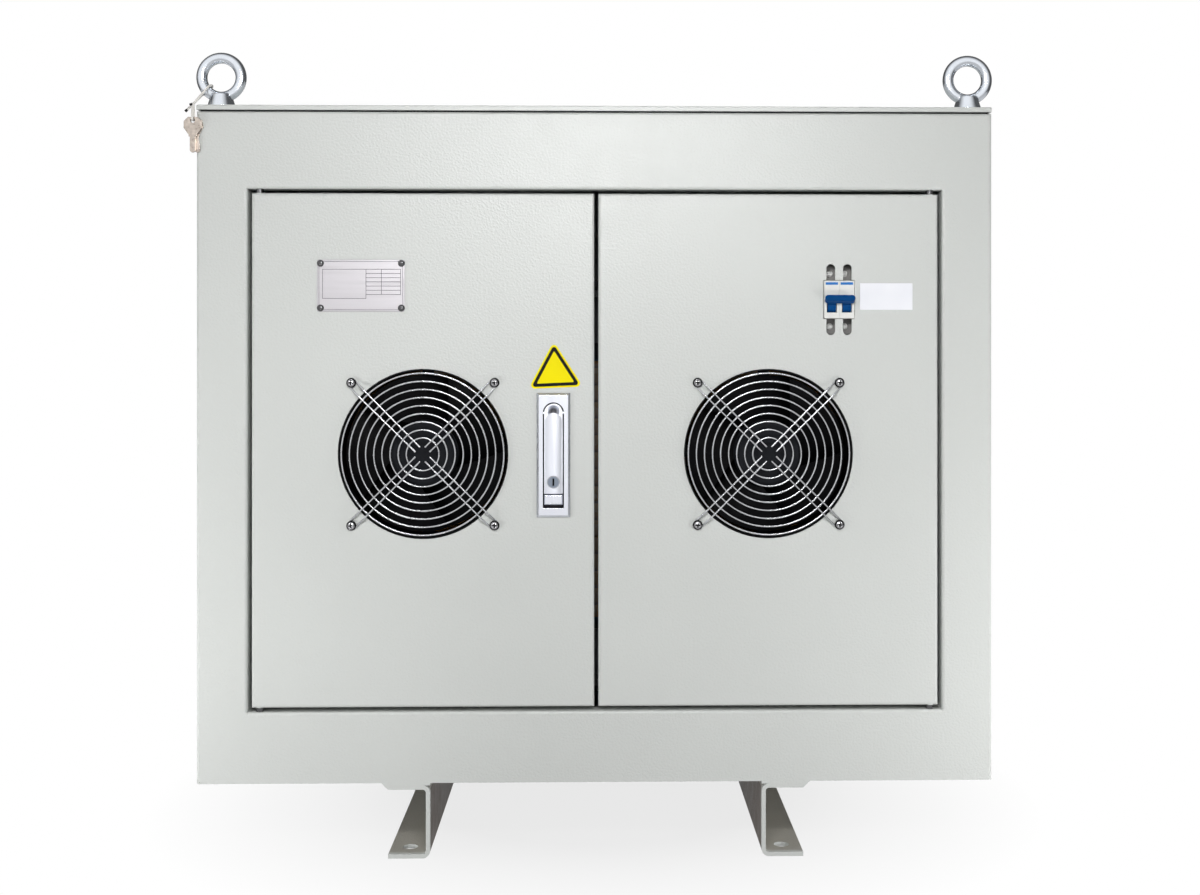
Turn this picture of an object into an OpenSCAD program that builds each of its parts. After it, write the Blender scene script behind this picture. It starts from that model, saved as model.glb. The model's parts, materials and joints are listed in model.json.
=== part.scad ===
// Power transformer in a two-door sheet steel cabinet.
// Millimetres. X runs to the right, Y to the back and Z up. The origin lies on the
// floor, in the middle of the four anchor holes.

/* [Cabinet] */
// Width over the side walls
body_w = 950; // [900:10:1100]
// Depth from front face to back face
body_d = 600; // [540:10:760]
// Height of the walls, without feet and cover
body_h = 800; // [760:10:960]
// Thickness of the steel sheet
sheet = 2; // [1.5:0.5:2.5]
// Outside radius of a sheet bend
bend_r = 3.5; // [3:0.5:5]
// Width of the stile beside the doors
stile_w = 60; // [54:1:80]
// Height of the rail above the doors
top_rail_h = 92; // [70:1:120]
// Height of the rail below the doors
bottom_rail_h = 85; // [60:1:110]
// Depth of the turned-in edge round the door opening
return_d = 22; // [16:1:30]
// Depth of the side legs of the stiles and of the back
side_leg = 30; // [20:1:36]
// Depth of the flanges that carry the cover
top_flange = 44; // [40:1:60]
// Width of the top flange of a side wall
side_flange = 15; // [10:1:20]
// Thickness of the floor plate
floor_t = 3; // [2:0.5:5]
// Clearance of the floor's notches round the stiles
notch = 0.3; // [0.2:0.1:0.8]
// Gap between a side wall and its neighbours
wall_seam = 0.5; // [0.2:0.1:0.9]

/* [Louvres] */
// Length of one louvre
louvre_l = 150; // [100:5:180]
// Height of one louvre
louvre_h = 15; // [12:1:20]
// How far a louvre stands out
louvre_out = 9; // [6:0.5:12]
// Distance between rows
louvre_pitch = 34; // [28:1:45]
// Number of rows
louvre_rows = 8; // [4:1:9]
// Distance between the two columns
louvre_columns = 220; // [200:5:260]
// Height of the middle of the field above the floor plate
louvre_mid = 400; // [300:10:450]

/* [Cover] */
// Height of the cover's rim
cover_h = 6; // [5:0.5:12]
// Width of the folded rim under the cover
cover_rim = 20; // [14:1:30]
// Radius of the cover's upper edge
cover_r = 2; // [1:0.5:3]
// Thickness of the seal under the cover
seal_t = 2; // [1:0.5:4]
// Width of the seal
seal_w = 10; // [6:1:12]
// How far the seal lies in from the edge
seal_inset = 4; // [2:0.5:5]

/* [Feet] */
// Height of the foot channel
foot_h = 87; // [60:1:140]
// Width of the foot channel
foot_w = 50; // [40:1:80]
// Plate thickness of the foot channel
foot_t = 5; // [4:0.5:8]
// Inside radius of the foot's bends
foot_r = 4; // [2:0.5:8]
// Thickness of the packing strip on the foot
strip_t = 3; // [2:0.5:6]
// Distance between the anchor holes, side to side
anchor_x = 450; // [350:10:560]
// Distance of an anchor hole from the foot's end
anchor_end = 30; // [20:1:60]
// Distance of an anchor hole from the flange's edge
anchor_edge = 23; // [16:1:30]
// Diameter of an anchor hole
anchor_d = 18; // [10:1:22]

/* [Eyebolts] */
// Outside diameter of the ring
eye_od = 60; // [54:1:72]
// Inside diameter of the ring
eye_id = 34; // [28:1:38]
// Height of the ring's top above the cover
eye_h = 66; // [60:1:76]
// Lower diameter of the collar
collar_d = 34; // [30:1:38]
// Upper diameter of the collar
collar_top_d = 24; // [20:1:28]
// Height of the collar
collar_h = 16; // [10:1:18]
// Diameter of the shank
shank_d = 16; // [10:1:16]
// Distance of the eyebolts from the cabinet's faces
eye_inset = 24; // [20:0.5:28]
// Height of the nut under the flange
nut_h = 12; // [8:1:16]
// Width of the nut over its corners
nut_d = 26; // [22:1:28]
// Clearance round the shank
shank_clear = 0.5; // [0.2:0.1:1]

/* [Doors] */
// Gap round the doors and between them
door_gap = 5; // [4:0.5:8]
// Depth of a door
door_d = 20; // [18:1:26]
// Width of the fold behind the door's edge
door_lip = 14; // [10:1:18]

/* [Hinges] */
// Diameter of a hinge pin
pin_d = 6; // [4:0.5:6.5]
// Diameter of the washer in the gap
washer_d = 9; // [8:0.5:11]
// Distance of the pin from the door's edge
pin_side = 9; // [8:0.5:14]
// Distance of the pin behind the door's face
pin_back = 6; // [5.5:0.5:8]
// Length of the pin inside the door
pin_depth = 12; // [8:1:20]
// Outside diameter of the bush in the door
bush_d = 10; // [9.5:0.5:11]
// Running clearance round a pin
pin_clear = 0.2; // [0.1:0.05:0.3]

/* [Fans] */
// Diameter of the hole in the door
fan_hole = 203; // [190:1:215]
// Distance of the fan's middle below the door's middle
fan_drop = 4.5; // [-20:0.5:20]
// Distance between the fan's screws
fan_screws = 170; // [165:1:178]
// Diameter of a screw hole
fan_screw_d = 5.5; // [4:0.5:6.5]
// Inside diameter of the barrel
barrel_id = 200; // [190:1:206]
// Wall of the barrel
barrel_t = 3; // [2:0.5:4]
// Depth of the fan housing
housing_d = 60; // [52:1:80]
// Thickness of the housing's flange
ear_t = 3; // [2:0.5:5]
// Radius of the housing's ears round a screw
ear_r = 10; // [8:0.5:12]
// Width of the arms behind the motor
spider_w = 14; // [10:1:20]
// Thickness of the arms behind the motor
spider_t = 4; // [3:0.5:6]
// Diameter of the plate that carries the motor
motor_d = 88; // [70:1:100]
// Thickness of that plate
motor_t = 7; // [5:0.5:10]
// Diameter of the rotor's hub
hub_d = 80; // [64:1:96]
// Length of the hub
hub_l = 38; // [30:1:40]
// Radius of the hub's front edge
hub_edge = 4; // [2:0.5:8]
// Diameter of the fan shaft
shaft_d = 16; // [10:1:20]
// Length of the shaft inside the hub
shaft_l = 26; // [16:1:28]
// Clearance round and in front of the shaft
shaft_clear = 0.3; // [0.2:0.05:0.5]
// Diameter over the blade tips
tip_d = 188; // [170:1:189]
// Number of blades
blades = 5; // [3:1:6]
// Pitch of a blade in degrees
blade_pitch = 30; // [25:1:45]
// Radius of a blade's curve
blade_curve = 110; // [80:5:200]
// Thickness of a blade
blade_t = 2; // [1.5:0.5:3]
// Distance of the blades from the hub's ends
blade_margin = 2; // [1:0.5:4]
// Gap between the rotor and the plate behind it
rotor_gap = 6; // [5:0.5:9]

/* [Fan guard] */
// Diameter of the guard's wire
wire_d = 2.4; // [2:0.1:3]
// Radius of the smallest ring
ring_first = 19; // [14:1:24]
// Distance between rings
ring_pitch = 9.5; // [8:0.1:9.5]
// Number of rings
rings = 9; // [5:1:9]
// Height of the rings above the door
ring_lift = 5; // [4:0.5:8]
// Distance between the two wires of an arm
arm_gap = 9; // [7.5:0.5:11]
// Radius where the arms' wires start
arm_start = 8; // [6:1:12]
// Radius where the arms bend towards the door
arm_bend = 104; // [98:1:108]
// How deep the wires of rings and arms are welded into each other
weld = 0.5; // [0.3:0.1:0.8]

/* [Lock] */
// Width of the lock plate
lock_w = 40; // [38:1:50]
// Height of the lock plate
lock_h = 148; // [140:1:170]
// Height of the lock plate above the door
lock_proud = 4; // [3:0.5:6]
// Bevel round the lock plate
lock_bevel = 2.5; // [1.5:0.5:3]
// Distance of the lock from the door's free edge
lock_edge = 48.5; // [40:0.5:60]
// Distance of the lock's middle below the door's middle
lock_drop = 6; // [-20:1:20]
// Width of the recess for the handle
recess_w = 25; // [22:0.5:28]
// Height of the recess
recess_h = 126; // [120:1:134]
// Depth of the recess
recess_d = 16; // [16:0.5:18]
// Wall of the tub behind the door
tub_t = 3; // [2:0.5:4]
// Clearance between the tub and the door's cut-out
tub_clear = 0.4; // [0.2:0.1:0.8]
// Width of the handle
handle_w = 22; // [18:0.5:22.5]
// Thickness of the handle behind the lock plate's face
handle_t = 7.5; // [6:0.5:8]
// Width of the raised grip on the handle
grip_w = 19; // [14:0.5:20]
// How far the grip stands out of the plate
grip_proud = 2.5; // [1.5:0.5:4]
// Distance of the grip's top from the handle's top
grip_top = 11; // [9:0.5:13]
// Radius of the grip's crowned face
grip_crown = 22; // [16:1:60]
// Radius of the finger hollow above the grip
scoop_r = 8; // [6:0.5:9]
// Depth of the finger hollow
scoop_d = 4; // [2:0.5:4.5]
// Diameter of the two stub pins the handle swings on
cross_pin_d = 4; // [3:0.5:5]
// How far a stub pin reaches into the handle
stub_l = 3.2; // [2:0.1:3.5]
// Clearance round those pins and the toggle's pin
cross_clear = 0.15; // [0.1:0.05:0.3]
// Diameter of the key barrel
key_barrel_d = 15; // [12:0.5:16]
// Distance of the key barrel from the handle's lower end
key_barrel_up = 14; // [11:0.5:20]
// Height of the push button
button_h = 12; // [9:0.5:16]
// Thickness of the push button
button_t = 6; // [5:0.5:8]
// Diameter of the push button's stem
stem_d = 8; // [5:0.5:10]
// Clearance round that stem
stem_clear = 0.2; // [0.1:0.05:0.4]
// Space below the push button
button_under = 4; // [2:0.5:6]
// Gap between the button and the handle
button_gap = 1.2; // [0.8:0.1:2]
// Length of the cam behind the door
cam_l = 55; // [40:1:70]
// Width of the cam
cam_w = 18; // [14:1:24]
// Thickness of the cam
cam_t = 3; // [2:0.5:5]
// Length of the lock's shaft behind the tub
cam_shaft_l = 10; // [6:1:16]

/* [Breaker] */
// Width of one pole
pole_w = 18; // [17:0.5:18]
// Height of the breaker's nose
nose_h = 45; // [44:0.5:46]
// How far the nose stands out of the door
nose_proud = 2; // [1:0.5:5]
// Depth of the nose in front of its shoulders
nose_d = 19; // [16:1:24]
// Height of the whole breaker
breaker_h = 82; // [78:1:90]
// Depth of the whole breaker
breaker_d = 70; // [60:1:80]
// Clearance between the nose and the door's cut-out
nose_clear = 0.8; // [0.5:0.1:1.5]
// Width of a slot in front of a terminal screw
slot_w = 10.5; // [8:0.5:12]
// Distance between the two slots over the nose, and under it
slot_pitch = 20; // [17:0.5:24]
// Distance of a slot's end from the breaker's middle
slot_end = 42.5; // [38:0.5:44]
// Distance of the breaker's middle from the door's hinged edge
breaker_side = 119; // [90:1:200]
// Height of the breaker's middle above the door's middle
breaker_up = 180; // [165:1:200]
// Diameter of the well over a terminal screw
well_d = 8; // [6:0.5:9]
// Depth of that well
well_depth = 6; // [4:0.5:10]
// Width of the window for the toggles
toggle_window_w = 12; // [10:0.5:13]
// Height of the window for the toggles
toggle_window_h = 20; // [18.5:0.5:24]
// Distance of the toggles' pin below the breaker's middle
toggle_drop = 7.5; // [4:0.5:9]
// Radius of a toggle's drum
drum_r = 8; // [6:0.5:8.5]
// How far the drums stand out of the nose
drum_out = 1; // [0.5:0.5:2]
// Width of a toggle's drum
drum_w = 10; // [8:0.5:11]
// Diameter of the toggle's pin
toggle_pin_d = 3; // [2:0.5:4]
// Length of a toggle's lever in front of the drum's middle
lever_l = 18.5; // [18:0.5:22]
// Height of the bar that ties the toggles
tie_h = 8; // [6:0.5:10]
// Depth of that bar
tie_d = 6.5; // [5:0.5:7]
// Width of that bar
tie_w = 36; // [30:0.5:36]
// Angle of the toggle above level when it is on, in degrees
toggle_on = 30; // [20:1:35]
// Thickness of the bracket behind the breaker
bracket_t = 2.5; // [2:0.5:4]
// Height of the bracket
bracket_h = 35; // [25:1:45]
// Width of the bracket's feet
bracket_foot = 14; // [10:1:20]
// Space between the breaker and the bracket's legs
bracket_gap = 6; // [3:0.5:12]

/* [Core and coils] */
// Width of the core
core_w = 560; // [500:10:620]
// Height of the core
core_h = 560; // [480:10:600]
// Stack of the core, front to back
core_d = 110; // [80:5:140]
// Width of a limb and height of a yoke
limb_w = 100; // [80:5:110]
// Distance of the core behind the cabinet's middle
core_back = 20; // [0:5:60]
// Gap between a coil and the core
coil_gap = 3; // [2:0.5:8]
// Gap between neighbouring coils
coil_space = 14; // [8:1:40]
// Gap between a coil and the yokes
coil_end = 10; // [6:1:30]
// Radius of a coil's outer corners
coil_r = 60; // [40:5:60]
// Width of a block between coils and yoke
block_w = 110; // [60:5:115]
// Depth of that block
block_d = 70; // [40:5:80]
// Height of a core clamp
clamp_h = 70; // [50:1:75]
// Thickness of a core clamp
clamp_t = 8; // [5:1:10]
// Width of a clamp's stiffening flange
clamp_flange = 40; // [20:1:50]
// How far a clamp reaches past the core
clamp_over = 20; // [5:1:30]
// Height of the bearers under the core
bearer_h = 50; // [30:1:80]
// Width of a bearer
bearer_w = 60; // [40:1:80]
// Length of a bearer
bearer_l = 220; // [180:5:240]
// Plate thickness of a bearer
bearer_t = 5; // [4:0.5:8]
// Distance between the bearers
bearer_x = 400; // [300:10:440]

/* [Keys] */
// Thickness of a key
key_t = 2; // [1.5:0.1:2.5]
// Width of a key's bow
bow_w = 21; // [20:1:28]
// Height of a key's bow
bow_h = 20; // [16:1:24]
// Width of a key's blade
blade_w = 6.5; // [6:0.5:10]
// Length of a key's blade
blade_l = 22; // [20:1:32]
// Diameter of the hole in the bow
bow_hole = 5.5; // [5:0.5:6]
// Width of the bow's rim above that hole
bow_rim = 1.5; // [1:0.1:3]
// Distance of that hole below the cabinet's top
key_drop = 12.5; // [10:0.5:18]
// Gap between the keys and the stile
key_gap = 2; // [1.5:0.5:5]
// Gap between the two keys
key_space = 1.6; // [1:0.1:3]
// Swing of the rear key, in degrees
key_swing = 8; // [5:1:20]
// Diameter of the wire of the key loop
loop_wire = 2; // [1.5:0.1:2.4]
// How far the keys hang outside the cabinet's side
key_out = 2.5; // [0:0.5:5]

/* [Hidden] */
$fn = 64;
bite = 0.5;
paint = "#d3d6d2";
zinc = "#c4c8cc";
black = "#1b1c1e";

front_y = -body_d / 2;
floor_z = foot_h + strip_t;
top_z = floor_z + body_h;
cover_z = top_z + seal_t + cover_h;

open_w = body_w - 2 * stile_w;
open_z0 = floor_z + bottom_rail_h;
open_z1 = top_z - top_rail_h;

door_w = (open_w - 3 * door_gap) / 2;
door_h = open_z1 - open_z0 - 2 * door_gap;
door_x = (door_gap + door_w) / 2;
door_z = (open_z0 + open_z1) / 2;
door_back = front_y + sheet;

pin_x = open_w / 2 - door_gap - pin_side;
pin_y = front_y + pin_back;

fan_z = door_z - fan_drop;
eye_x = body_w / 2 - eye_inset;
eye_y = body_d / 2 - eye_inset;
eye_screw_r = fan_screws / sqrt(2);
wire_r = wire_d / 2;
arm_wire = wire_d * sqrt(PI) / 2;
arm_lift = ring_lift + wire_r - weld;

lock_x = -door_gap / 2 - lock_edge;
lock_z = door_z - lock_drop;
lock_front = front_y - lock_proud;
recess_top = lock_z + recess_h / 2;
recess_bottom = lock_z - recess_h / 2;
button_z = recess_bottom + button_under + button_h / 2;
handle_tip = recess_top - (recess_w - handle_w) / 2;
handle_end = recess_bottom + button_under + button_h + button_gap;
grip_front = lock_front - grip_proud;
grip_tip = handle_tip - grip_top;
barrel_z = handle_end + key_barrel_up;
pivot_y = lock_front + handle_t / 2;
pivot_z = recess_top - recess_w / 2;

breaker_x = open_w / 2 - door_gap - breaker_side;
breaker_z = door_z + breaker_up;
breaker_w = 2 * pole_w;
nose_front = front_y - nose_proud;
toggle_y = nose_front + drum_r - drum_out;
toggle_z = breaker_z - toggle_drop;
terminal_z = (nose_h + breaker_h) / 4;

core_z = floor_z + floor_t + bearer_h;
window_w = (core_w - 3 * limb_w) / 2;
limb_pitch = limb_w + window_w;
coil_w = limb_pitch - coil_space;
coil_build = (coil_w - limb_w) / 2;
coil_d = core_d + 2 * coil_build;
coil_h = core_h - 2 * limb_w - 2 * coil_end;

foot_tip = anchor_x / 2 + anchor_edge;
foot_web = foot_tip - foot_w;

rear_key_y = front_y - key_gap - key_t;
front_key_y = rear_key_y - key_space - key_t;
bow_hole_x = -body_w / 2 - key_out;
bow_hole_z = top_z - key_drop;

// Shapes that repeat

// Rectangle from y = 0 to y = d whose two corners at y = 0 are round
module round_front(w, d, r) {
    translate([-w / 2, r]) square([w, d - r]);
    translate([-w / 2 + r, 0]) square([w - 2 * r, d]);
    for (side = [-1, 1])
        translate([side * (w / 2 - r), r]) circle(r);
}

// Rectangle from y = 0 to y = d whose two corners at y = 0 are cut off
module bevel_front(w, d, c) {
    polygon([
        [-w / 2 + c, 0], [w / 2 - c, 0], [w / 2, c],
        [w / 2, d], [-w / 2, d], [-w / 2, c]
    ]);
}

// Two prisms of the same depth, one standing and one lying, cut with each other
module crossed(w, h) {
    intersection() {
        translate([0, 0, -h / 2]) linear_extrude(h) children(0);
        rotate([0, 90, 0]) translate([0, 0, -w / 2]) linear_extrude(w) children(1);
    }
}

// Slab with its face at y = 0 and round edges there
module round_slab(w, d, h, r) {
    crossed(w, h) {
        round_front(w, d, r);
        round_front(h, d, r);
    }
}

// Slab with its face at y = 0 and bevelled edges there
module bevel_slab(w, d, h, c) {
    crossed(w, h) {
        bevel_front(w, d, c);
        bevel_front(h, d, c);
    }
}

// Upright slot with a round top, in the plane of the door
module arch(w, h) {
    translate([-w / 2, -h / 2]) square([w, h - w / 2]);
    translate([0, h / 2 - w / 2]) circle(w / 2);
}

// Turns a shape that lies flat so that it stands in the door, facing outwards
module stand() {
    rotate([90, 0, 0]) children();
}

// What is taken off a square edge along Z to make it round
module edge_round(length, r) {
    difference() {
        translate([-bite, -bite, 0]) cube([r + bite, r + bite, length]);
        translate([r, r, -bite]) cylinder(r = r, h = length + 2 * bite);
    }
}

// Wall folded from one sheet, face at y = 0, with a leg at each side and a flange on top
module folded_wall(w, h, left, right, top) {
    depth = max(left, right, top);
    difference() {
        translate([-w / 2, 0, 0]) cube([w, depth, h]);
        translate([-w / 2 + sheet, sheet, -bite]) cube([w - 2 * sheet, depth, h - sheet + bite]);
        translate([-w / 2 - bite, left, -bite]) cube([sheet + 2 * bite, depth, h - sheet + bite]);
        translate([w / 2 - sheet - bite, right, -bite]) cube([sheet + 2 * bite, depth, h - sheet + bite]);
        translate([-w / 2, 0, h]) rotate([0, 90, 0]) edge_round(w, bend_r);
    }
}

module at_eyebolts() {
    for (sx = [-1, 1], sy = [-1, 1])
        translate([sx * eye_x, sy * eye_y, 0]) children();
}

module shank_holes() {
    at_eyebolts() translate([0, 0, top_z - 2 * sheet])
        cylinder(d = shank_d + 2 * shank_clear, h = cover_z - top_z + 4 * sheet);
}

// Feet and floor

module foot() {
    r_out = foot_r + foot_t;
    color(paint)
    difference() {
        translate([0, body_d / 2, 0]) rotate([90, 0, 0]) linear_extrude(body_d) difference() {
            union() {
                translate([foot_web, r_out]) square([foot_w, foot_h - 2 * r_out]);
                translate([foot_web + r_out, 0]) square([foot_w - r_out, foot_h]);
                for (z = [r_out, foot_h - r_out])
                    translate([foot_web + r_out, z]) circle(r_out);
                polygon([[foot_tip, foot_h - foot_t], [foot_tip + foot_t, foot_h], [foot_tip, foot_h]]);
            }
            translate([foot_web + foot_t, r_out]) square([foot_w, foot_h - 2 * r_out]);
            translate([foot_web + r_out, foot_t]) square([foot_w, foot_h - 2 * foot_t]);
            for (z = [r_out, foot_h - r_out])
                translate([foot_web + r_out, z]) circle(foot_r);
        }
        for (side = [-1, 1])
            translate([anchor_x / 2, side * (body_d / 2 - anchor_end), -bite])
                cylinder(d = anchor_d, h = foot_t + 2 * bite);
    }
}

module left_foot() {
    mirror([1, 0, 0]) foot();
}

module right_foot() {
    foot();
}

module foot_strips() {
    color(paint)
    for (side = [0, 1])
        mirror([side, 0, 0]) translate([0, body_d / 2, 0]) rotate([90, 0, 0]) linear_extrude(body_d)
            polygon([
                [foot_web, foot_h], [foot_tip + foot_t, foot_h],
                [foot_tip + foot_t + strip_t, floor_z], [foot_web, floor_z]
            ]);
}

module floor_plate() {
    color(paint)
    difference() {
        translate([-body_w / 2 + sheet, front_y + sheet, floor_z])
            cube([body_w - 2 * sheet, body_d - 2 * sheet, floor_t]);
        // Notches round the returns of the stiles
        for (side = [-1, 1])
            translate([side * (open_w + sheet) / 2 - sheet / 2 - notch, front_y, floor_z - bite])
                cube([sheet + 2 * notch, return_d + notch, floor_t + 2 * bite]);
    }
}

// Walls

// Hood of one louvre, with its mouth at the bottom; the wall's outside is at x = 0
module louvre(length, out, height) {
    translate([0, length / 2, 0]) rotate([90, 0, 0]) linear_extrude(length)
        polygon([[0, 0], [out, 0], [out, 0.15 * height], [0.35 * out, 0.85 * height], [0, height]]);
}

module at_louvres() {
    for (row = [0 : louvre_rows - 1], column = [-1, 1])
        translate([
            body_w / 2, column * louvre_columns / 2,
            floor_z + louvre_mid + (row - (louvre_rows - 1) / 2) * louvre_pitch - louvre_h / 2
        ]) children();
}

module wall() {
    length = body_d - 2 * side_leg - 2 * wall_seam;
    flange_l = body_d - 2 * top_flange - 2 * wall_seam;
    color(paint)
    difference() {
        union() {
            translate([body_w / 2 - sheet, -length / 2, floor_z]) cube([sheet, length, body_h - sheet]);
            translate([body_w / 2 - side_flange, -flange_l / 2, top_z - sheet])
                cube([side_flange, flange_l, sheet]);
            at_louvres() louvre(louvre_l, louvre_out, louvre_h);
        }
        at_louvres() translate([-sheet, 0, -sheet])
            louvre(louvre_l - 2 * sheet, louvre_out, louvre_h);
    }
}

module right_wall() {
    wall();
}

module left_wall() {
    mirror([1, 0, 0]) wall();
}

module back_wall() {
    color(paint)
    difference() {
        translate([0, body_d / 2, floor_z]) rotate([0, 0, 180])
            folded_wall(body_w, body_h, side_leg, side_leg, top_flange);
        for (side = [0, 1])
            mirror([side, 0, 0]) translate([body_w / 2, body_d / 2, floor_z]) rotate([0, 0, 180])
                edge_round(body_h, bend_r);
        shank_holes();
    }
}

module stile() {
    middle = (body_w - stile_w) / 2;
    color(paint)
    difference() {
        translate([middle, front_y, floor_z])
            folded_wall(stile_w, body_h, return_d, side_leg, top_flange);
        translate([body_w / 2, front_y, floor_z]) rotate([0, 0, 90]) edge_round(body_h, bend_r);
        translate([open_w / 2, front_y, open_z0]) edge_round(open_z1 - open_z0, bend_r);
        shank_holes();
    }
}

module right_stile() {
    stile();
}

module left_stile() {
    mirror([1, 0, 0]) stile();
}

module top_rail() {
    color(paint)
    translate([-open_w / 2, front_y, open_z1]) difference() {
        cube([open_w, top_flange, top_rail_h]);
        translate([-bite, sheet, sheet]) cube([open_w + 2 * bite, top_flange, top_rail_h - 2 * sheet]);
        translate([-bite, return_d, -bite]) cube([open_w + 2 * bite, top_flange, sheet + 2 * bite]);
        translate([open_w, 0, 0]) rotate([0, -90, 0]) edge_round(open_w, bend_r);
        translate([0, 0, top_rail_h]) rotate([0, 90, 0]) edge_round(open_w, bend_r);
    }
}

module bottom_rail() {
    color(paint)
    translate([-open_w / 2, front_y, floor_z]) difference() {
        cube([open_w, return_d, bottom_rail_h]);
        translate([-bite, sheet, -bite]) cube([open_w + 2 * bite, return_d, bottom_rail_h - sheet + bite]);
        translate([0, 0, bottom_rail_h]) rotate([0, 90, 0]) edge_round(open_w, bend_r);
    }
}

// Cover and eyebolts

module cover_seal() {
    outer = [body_w - 2 * seal_inset, body_d - 2 * seal_inset];
    color(black)
    translate([0, 0, top_z]) linear_extrude(seal_t) difference() {
        square(outer, center = true);
        square([outer[0] - 2 * seal_w, outer[1] - 2 * seal_w], center = true);
    }
}

module top_cover() {
    color(paint)
    difference() {
        translate([0, 0, cover_z]) rotate([-90, 0, 0]) round_slab(body_w, cover_h, body_d, cover_r);
        translate([0, 0, cover_z - sheet - cover_h / 2])
            cube([body_w - 2 * cover_rim, body_d - 2 * cover_rim, cover_h], center = true);
        shank_holes();
    }
}

module eyebolt(sx, sy) {
    ring_r = (eye_od + eye_id) / 4;
    ring_wire = (eye_od - eye_id) / 4;
    shank_l = cover_z - top_z + sheet + nut_h;
    color(zinc)
    translate([sx * eye_x, sy * eye_y, cover_z]) {
        translate([0, 0, eye_h - eye_od / 2]) rotate([90, 0, 0])
            rotate_extrude() translate([ring_r, 0]) circle(ring_wire);
        cylinder(d1 = collar_d, d2 = collar_top_d, h = collar_h);
        translate([0, 0, -shank_l]) {
            cylinder(d = shank_d, h = shank_l + bite);
            cylinder(d = nut_d, h = nut_h, $fn = 6);
        }
    }
}

// Hinges

// Pins of one door: each hangs from the opening's edge through a washer into the door
module hinge_pins(sx) {
    washer_h = door_gap - pin_clear;
    color(zinc)
    translate([sx * pin_x, pin_y, 0]) for (top = [0, 1])
        translate([0, 0, top == 1 ? open_z1 : open_z0]) mirror([0, 0, top]) {
            cylinder(d = washer_d, h = washer_h);
            cylinder(d = pin_d, h = door_gap + pin_depth);
        }
}

// Doors

module door_tray() {
    pocket_w = door_w - 2 * sheet;
    pocket_h = door_h - 2 * sheet;
    difference() {
        round_slab(door_w, door_d, door_h, bend_r);
        translate([0, sheet, 0])
            round_slab(pocket_w, door_d - 2 * sheet, pocket_h, bend_r - sheet);
        translate([0, door_d, 0])
            cube([door_w - 2 * door_lip, 3 * sheet, door_h - 2 * door_lip], center = true);
    }
}

module hinge_bushes(sx) {
    for (top = [0, 1])
        translate([sx * (door_w / 2 - pin_side), pin_back, (2 * top - 1) * door_h / 2])
            mirror([0, 0, top]) children();
}

// Door with its bushes and fan hole; the hinge is at side sx
module door(sx) {
    translate([sx * door_x, front_y, door_z]) difference() {
        union() {
            door_tray();
            hinge_bushes(sx) cylinder(d = bush_d, h = pin_depth + sheet);
        }
        hinge_bushes(sx) translate([0, 0, -bite])
            cylinder(d = pin_d + 2 * pin_clear, h = pin_depth + sheet + 2 * bite);
        translate([0, -bite, -fan_drop]) rotate([-90, 0, 0])
            cylinder(d = fan_hole, h = sheet + 2 * bite);
        for (ax = [-1, 1], az = [-1, 1])
            translate([ax * fan_screws / 2, -bite, az * fan_screws / 2 - fan_drop]) rotate([-90, 0, 0])
                cylinder(d = fan_screw_d, h = sheet + 2 * bite);
    }
}

module lock_cutout() {
    w = recess_w + 2 * (tub_t + tub_clear);
    h = recess_h + 2 * (tub_t + tub_clear);
    translate([lock_x, door_back + bite, lock_z]) stand() linear_extrude(sheet + 2 * bite) arch(w, h);
}

module left_door_panel() {
    color(paint)
    difference() {
        door(-1);
        lock_cutout();
    }
}

// Window in the door for the breaker's nose, with a slot over and under each pole
module breaker_cutout() {
    translate([breaker_x, door_back + bite, breaker_z]) stand() linear_extrude(sheet + 2 * bite) {
        square([breaker_w + 2 * nose_clear, nose_h + 2 * nose_clear], center = true);
        for (pole = [-0.5, 0.5]) translate([pole * slot_pitch, 0]) {
            square([slot_w, 2 * slot_end - slot_w], center = true);
            for (end = [-1, 1])
                translate([0, end * (slot_end - slot_w / 2)]) circle(d = slot_w);
        }
    }
}

module right_door_panel() {
    color(paint)
    difference() {
        door(1);
        breaker_cutout();
    }
}

// Fans: each lies flat at first, with its axis along Z and its front up

module housing() {
    half = fan_screws / 2;
    barrel_r = barrel_id / 2 + barrel_t;
    rim = 2;
    // Barrel with a flange of four ears
    difference() {
        union() {
            translate([0, 0, -ear_t]) linear_extrude(ear_t) {
                circle(barrel_r + rim);
                for (turn = [45, 135]) rotate(turn)
                    square([2 * eye_screw_r, 1.7 * ear_r], center = true);
                for (ax = [-1, 1], ay = [-1, 1])
                    translate([ax * half, ay * half]) circle(ear_r);
            }
            translate([0, 0, -housing_d]) cylinder(r = barrel_r, h = housing_d - ear_t / 2);
        }
        translate([0, 0, -housing_d - bite]) cylinder(d = barrel_id, h = housing_d + 2 * bite);
        for (ax = [-1, 1], ay = [-1, 1])
            translate([ax * half, ay * half, -ear_t - bite])
                cylinder(d = fan_screw_d, h = ear_t + 2 * bite);
    }
    // Arms, motor plate and shaft
    translate([0, 0, -housing_d]) {
        for (turn = [0, 90]) rotate(turn) translate([0, 0, spider_t])
            cube([barrel_id + barrel_t, spider_w, spider_t], center = true);
        cylinder(d = motor_d, h = motor_t);
        cylinder(d = shaft_d, h = motor_t + rotor_gap + shaft_l);
    }
}

// Curved plate that starts inside the hub and is cut to the tips' circle
module blade() {
    depth = hub_l - hub_edge - 2 * blade_margin;
    root = 0.7 * hub_d / 2;
    intersection() {
        translate([0, 0, blade_margin]) cylinder(d = tip_d, h = depth);
        translate([root, 0, blade_margin + depth / 2]) rotate([blade_pitch, 0, 0])
            translate([0, 0, -blade_curve]) rotate([0, 90, 0]) difference() {
                cylinder(r = blade_curve + blade_t / 2, h = tip_d);
                translate([0, 0, -bite]) cylinder(r = blade_curve - blade_t / 2, h = tip_d + 2 * bite);
            }
    }
}

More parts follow.
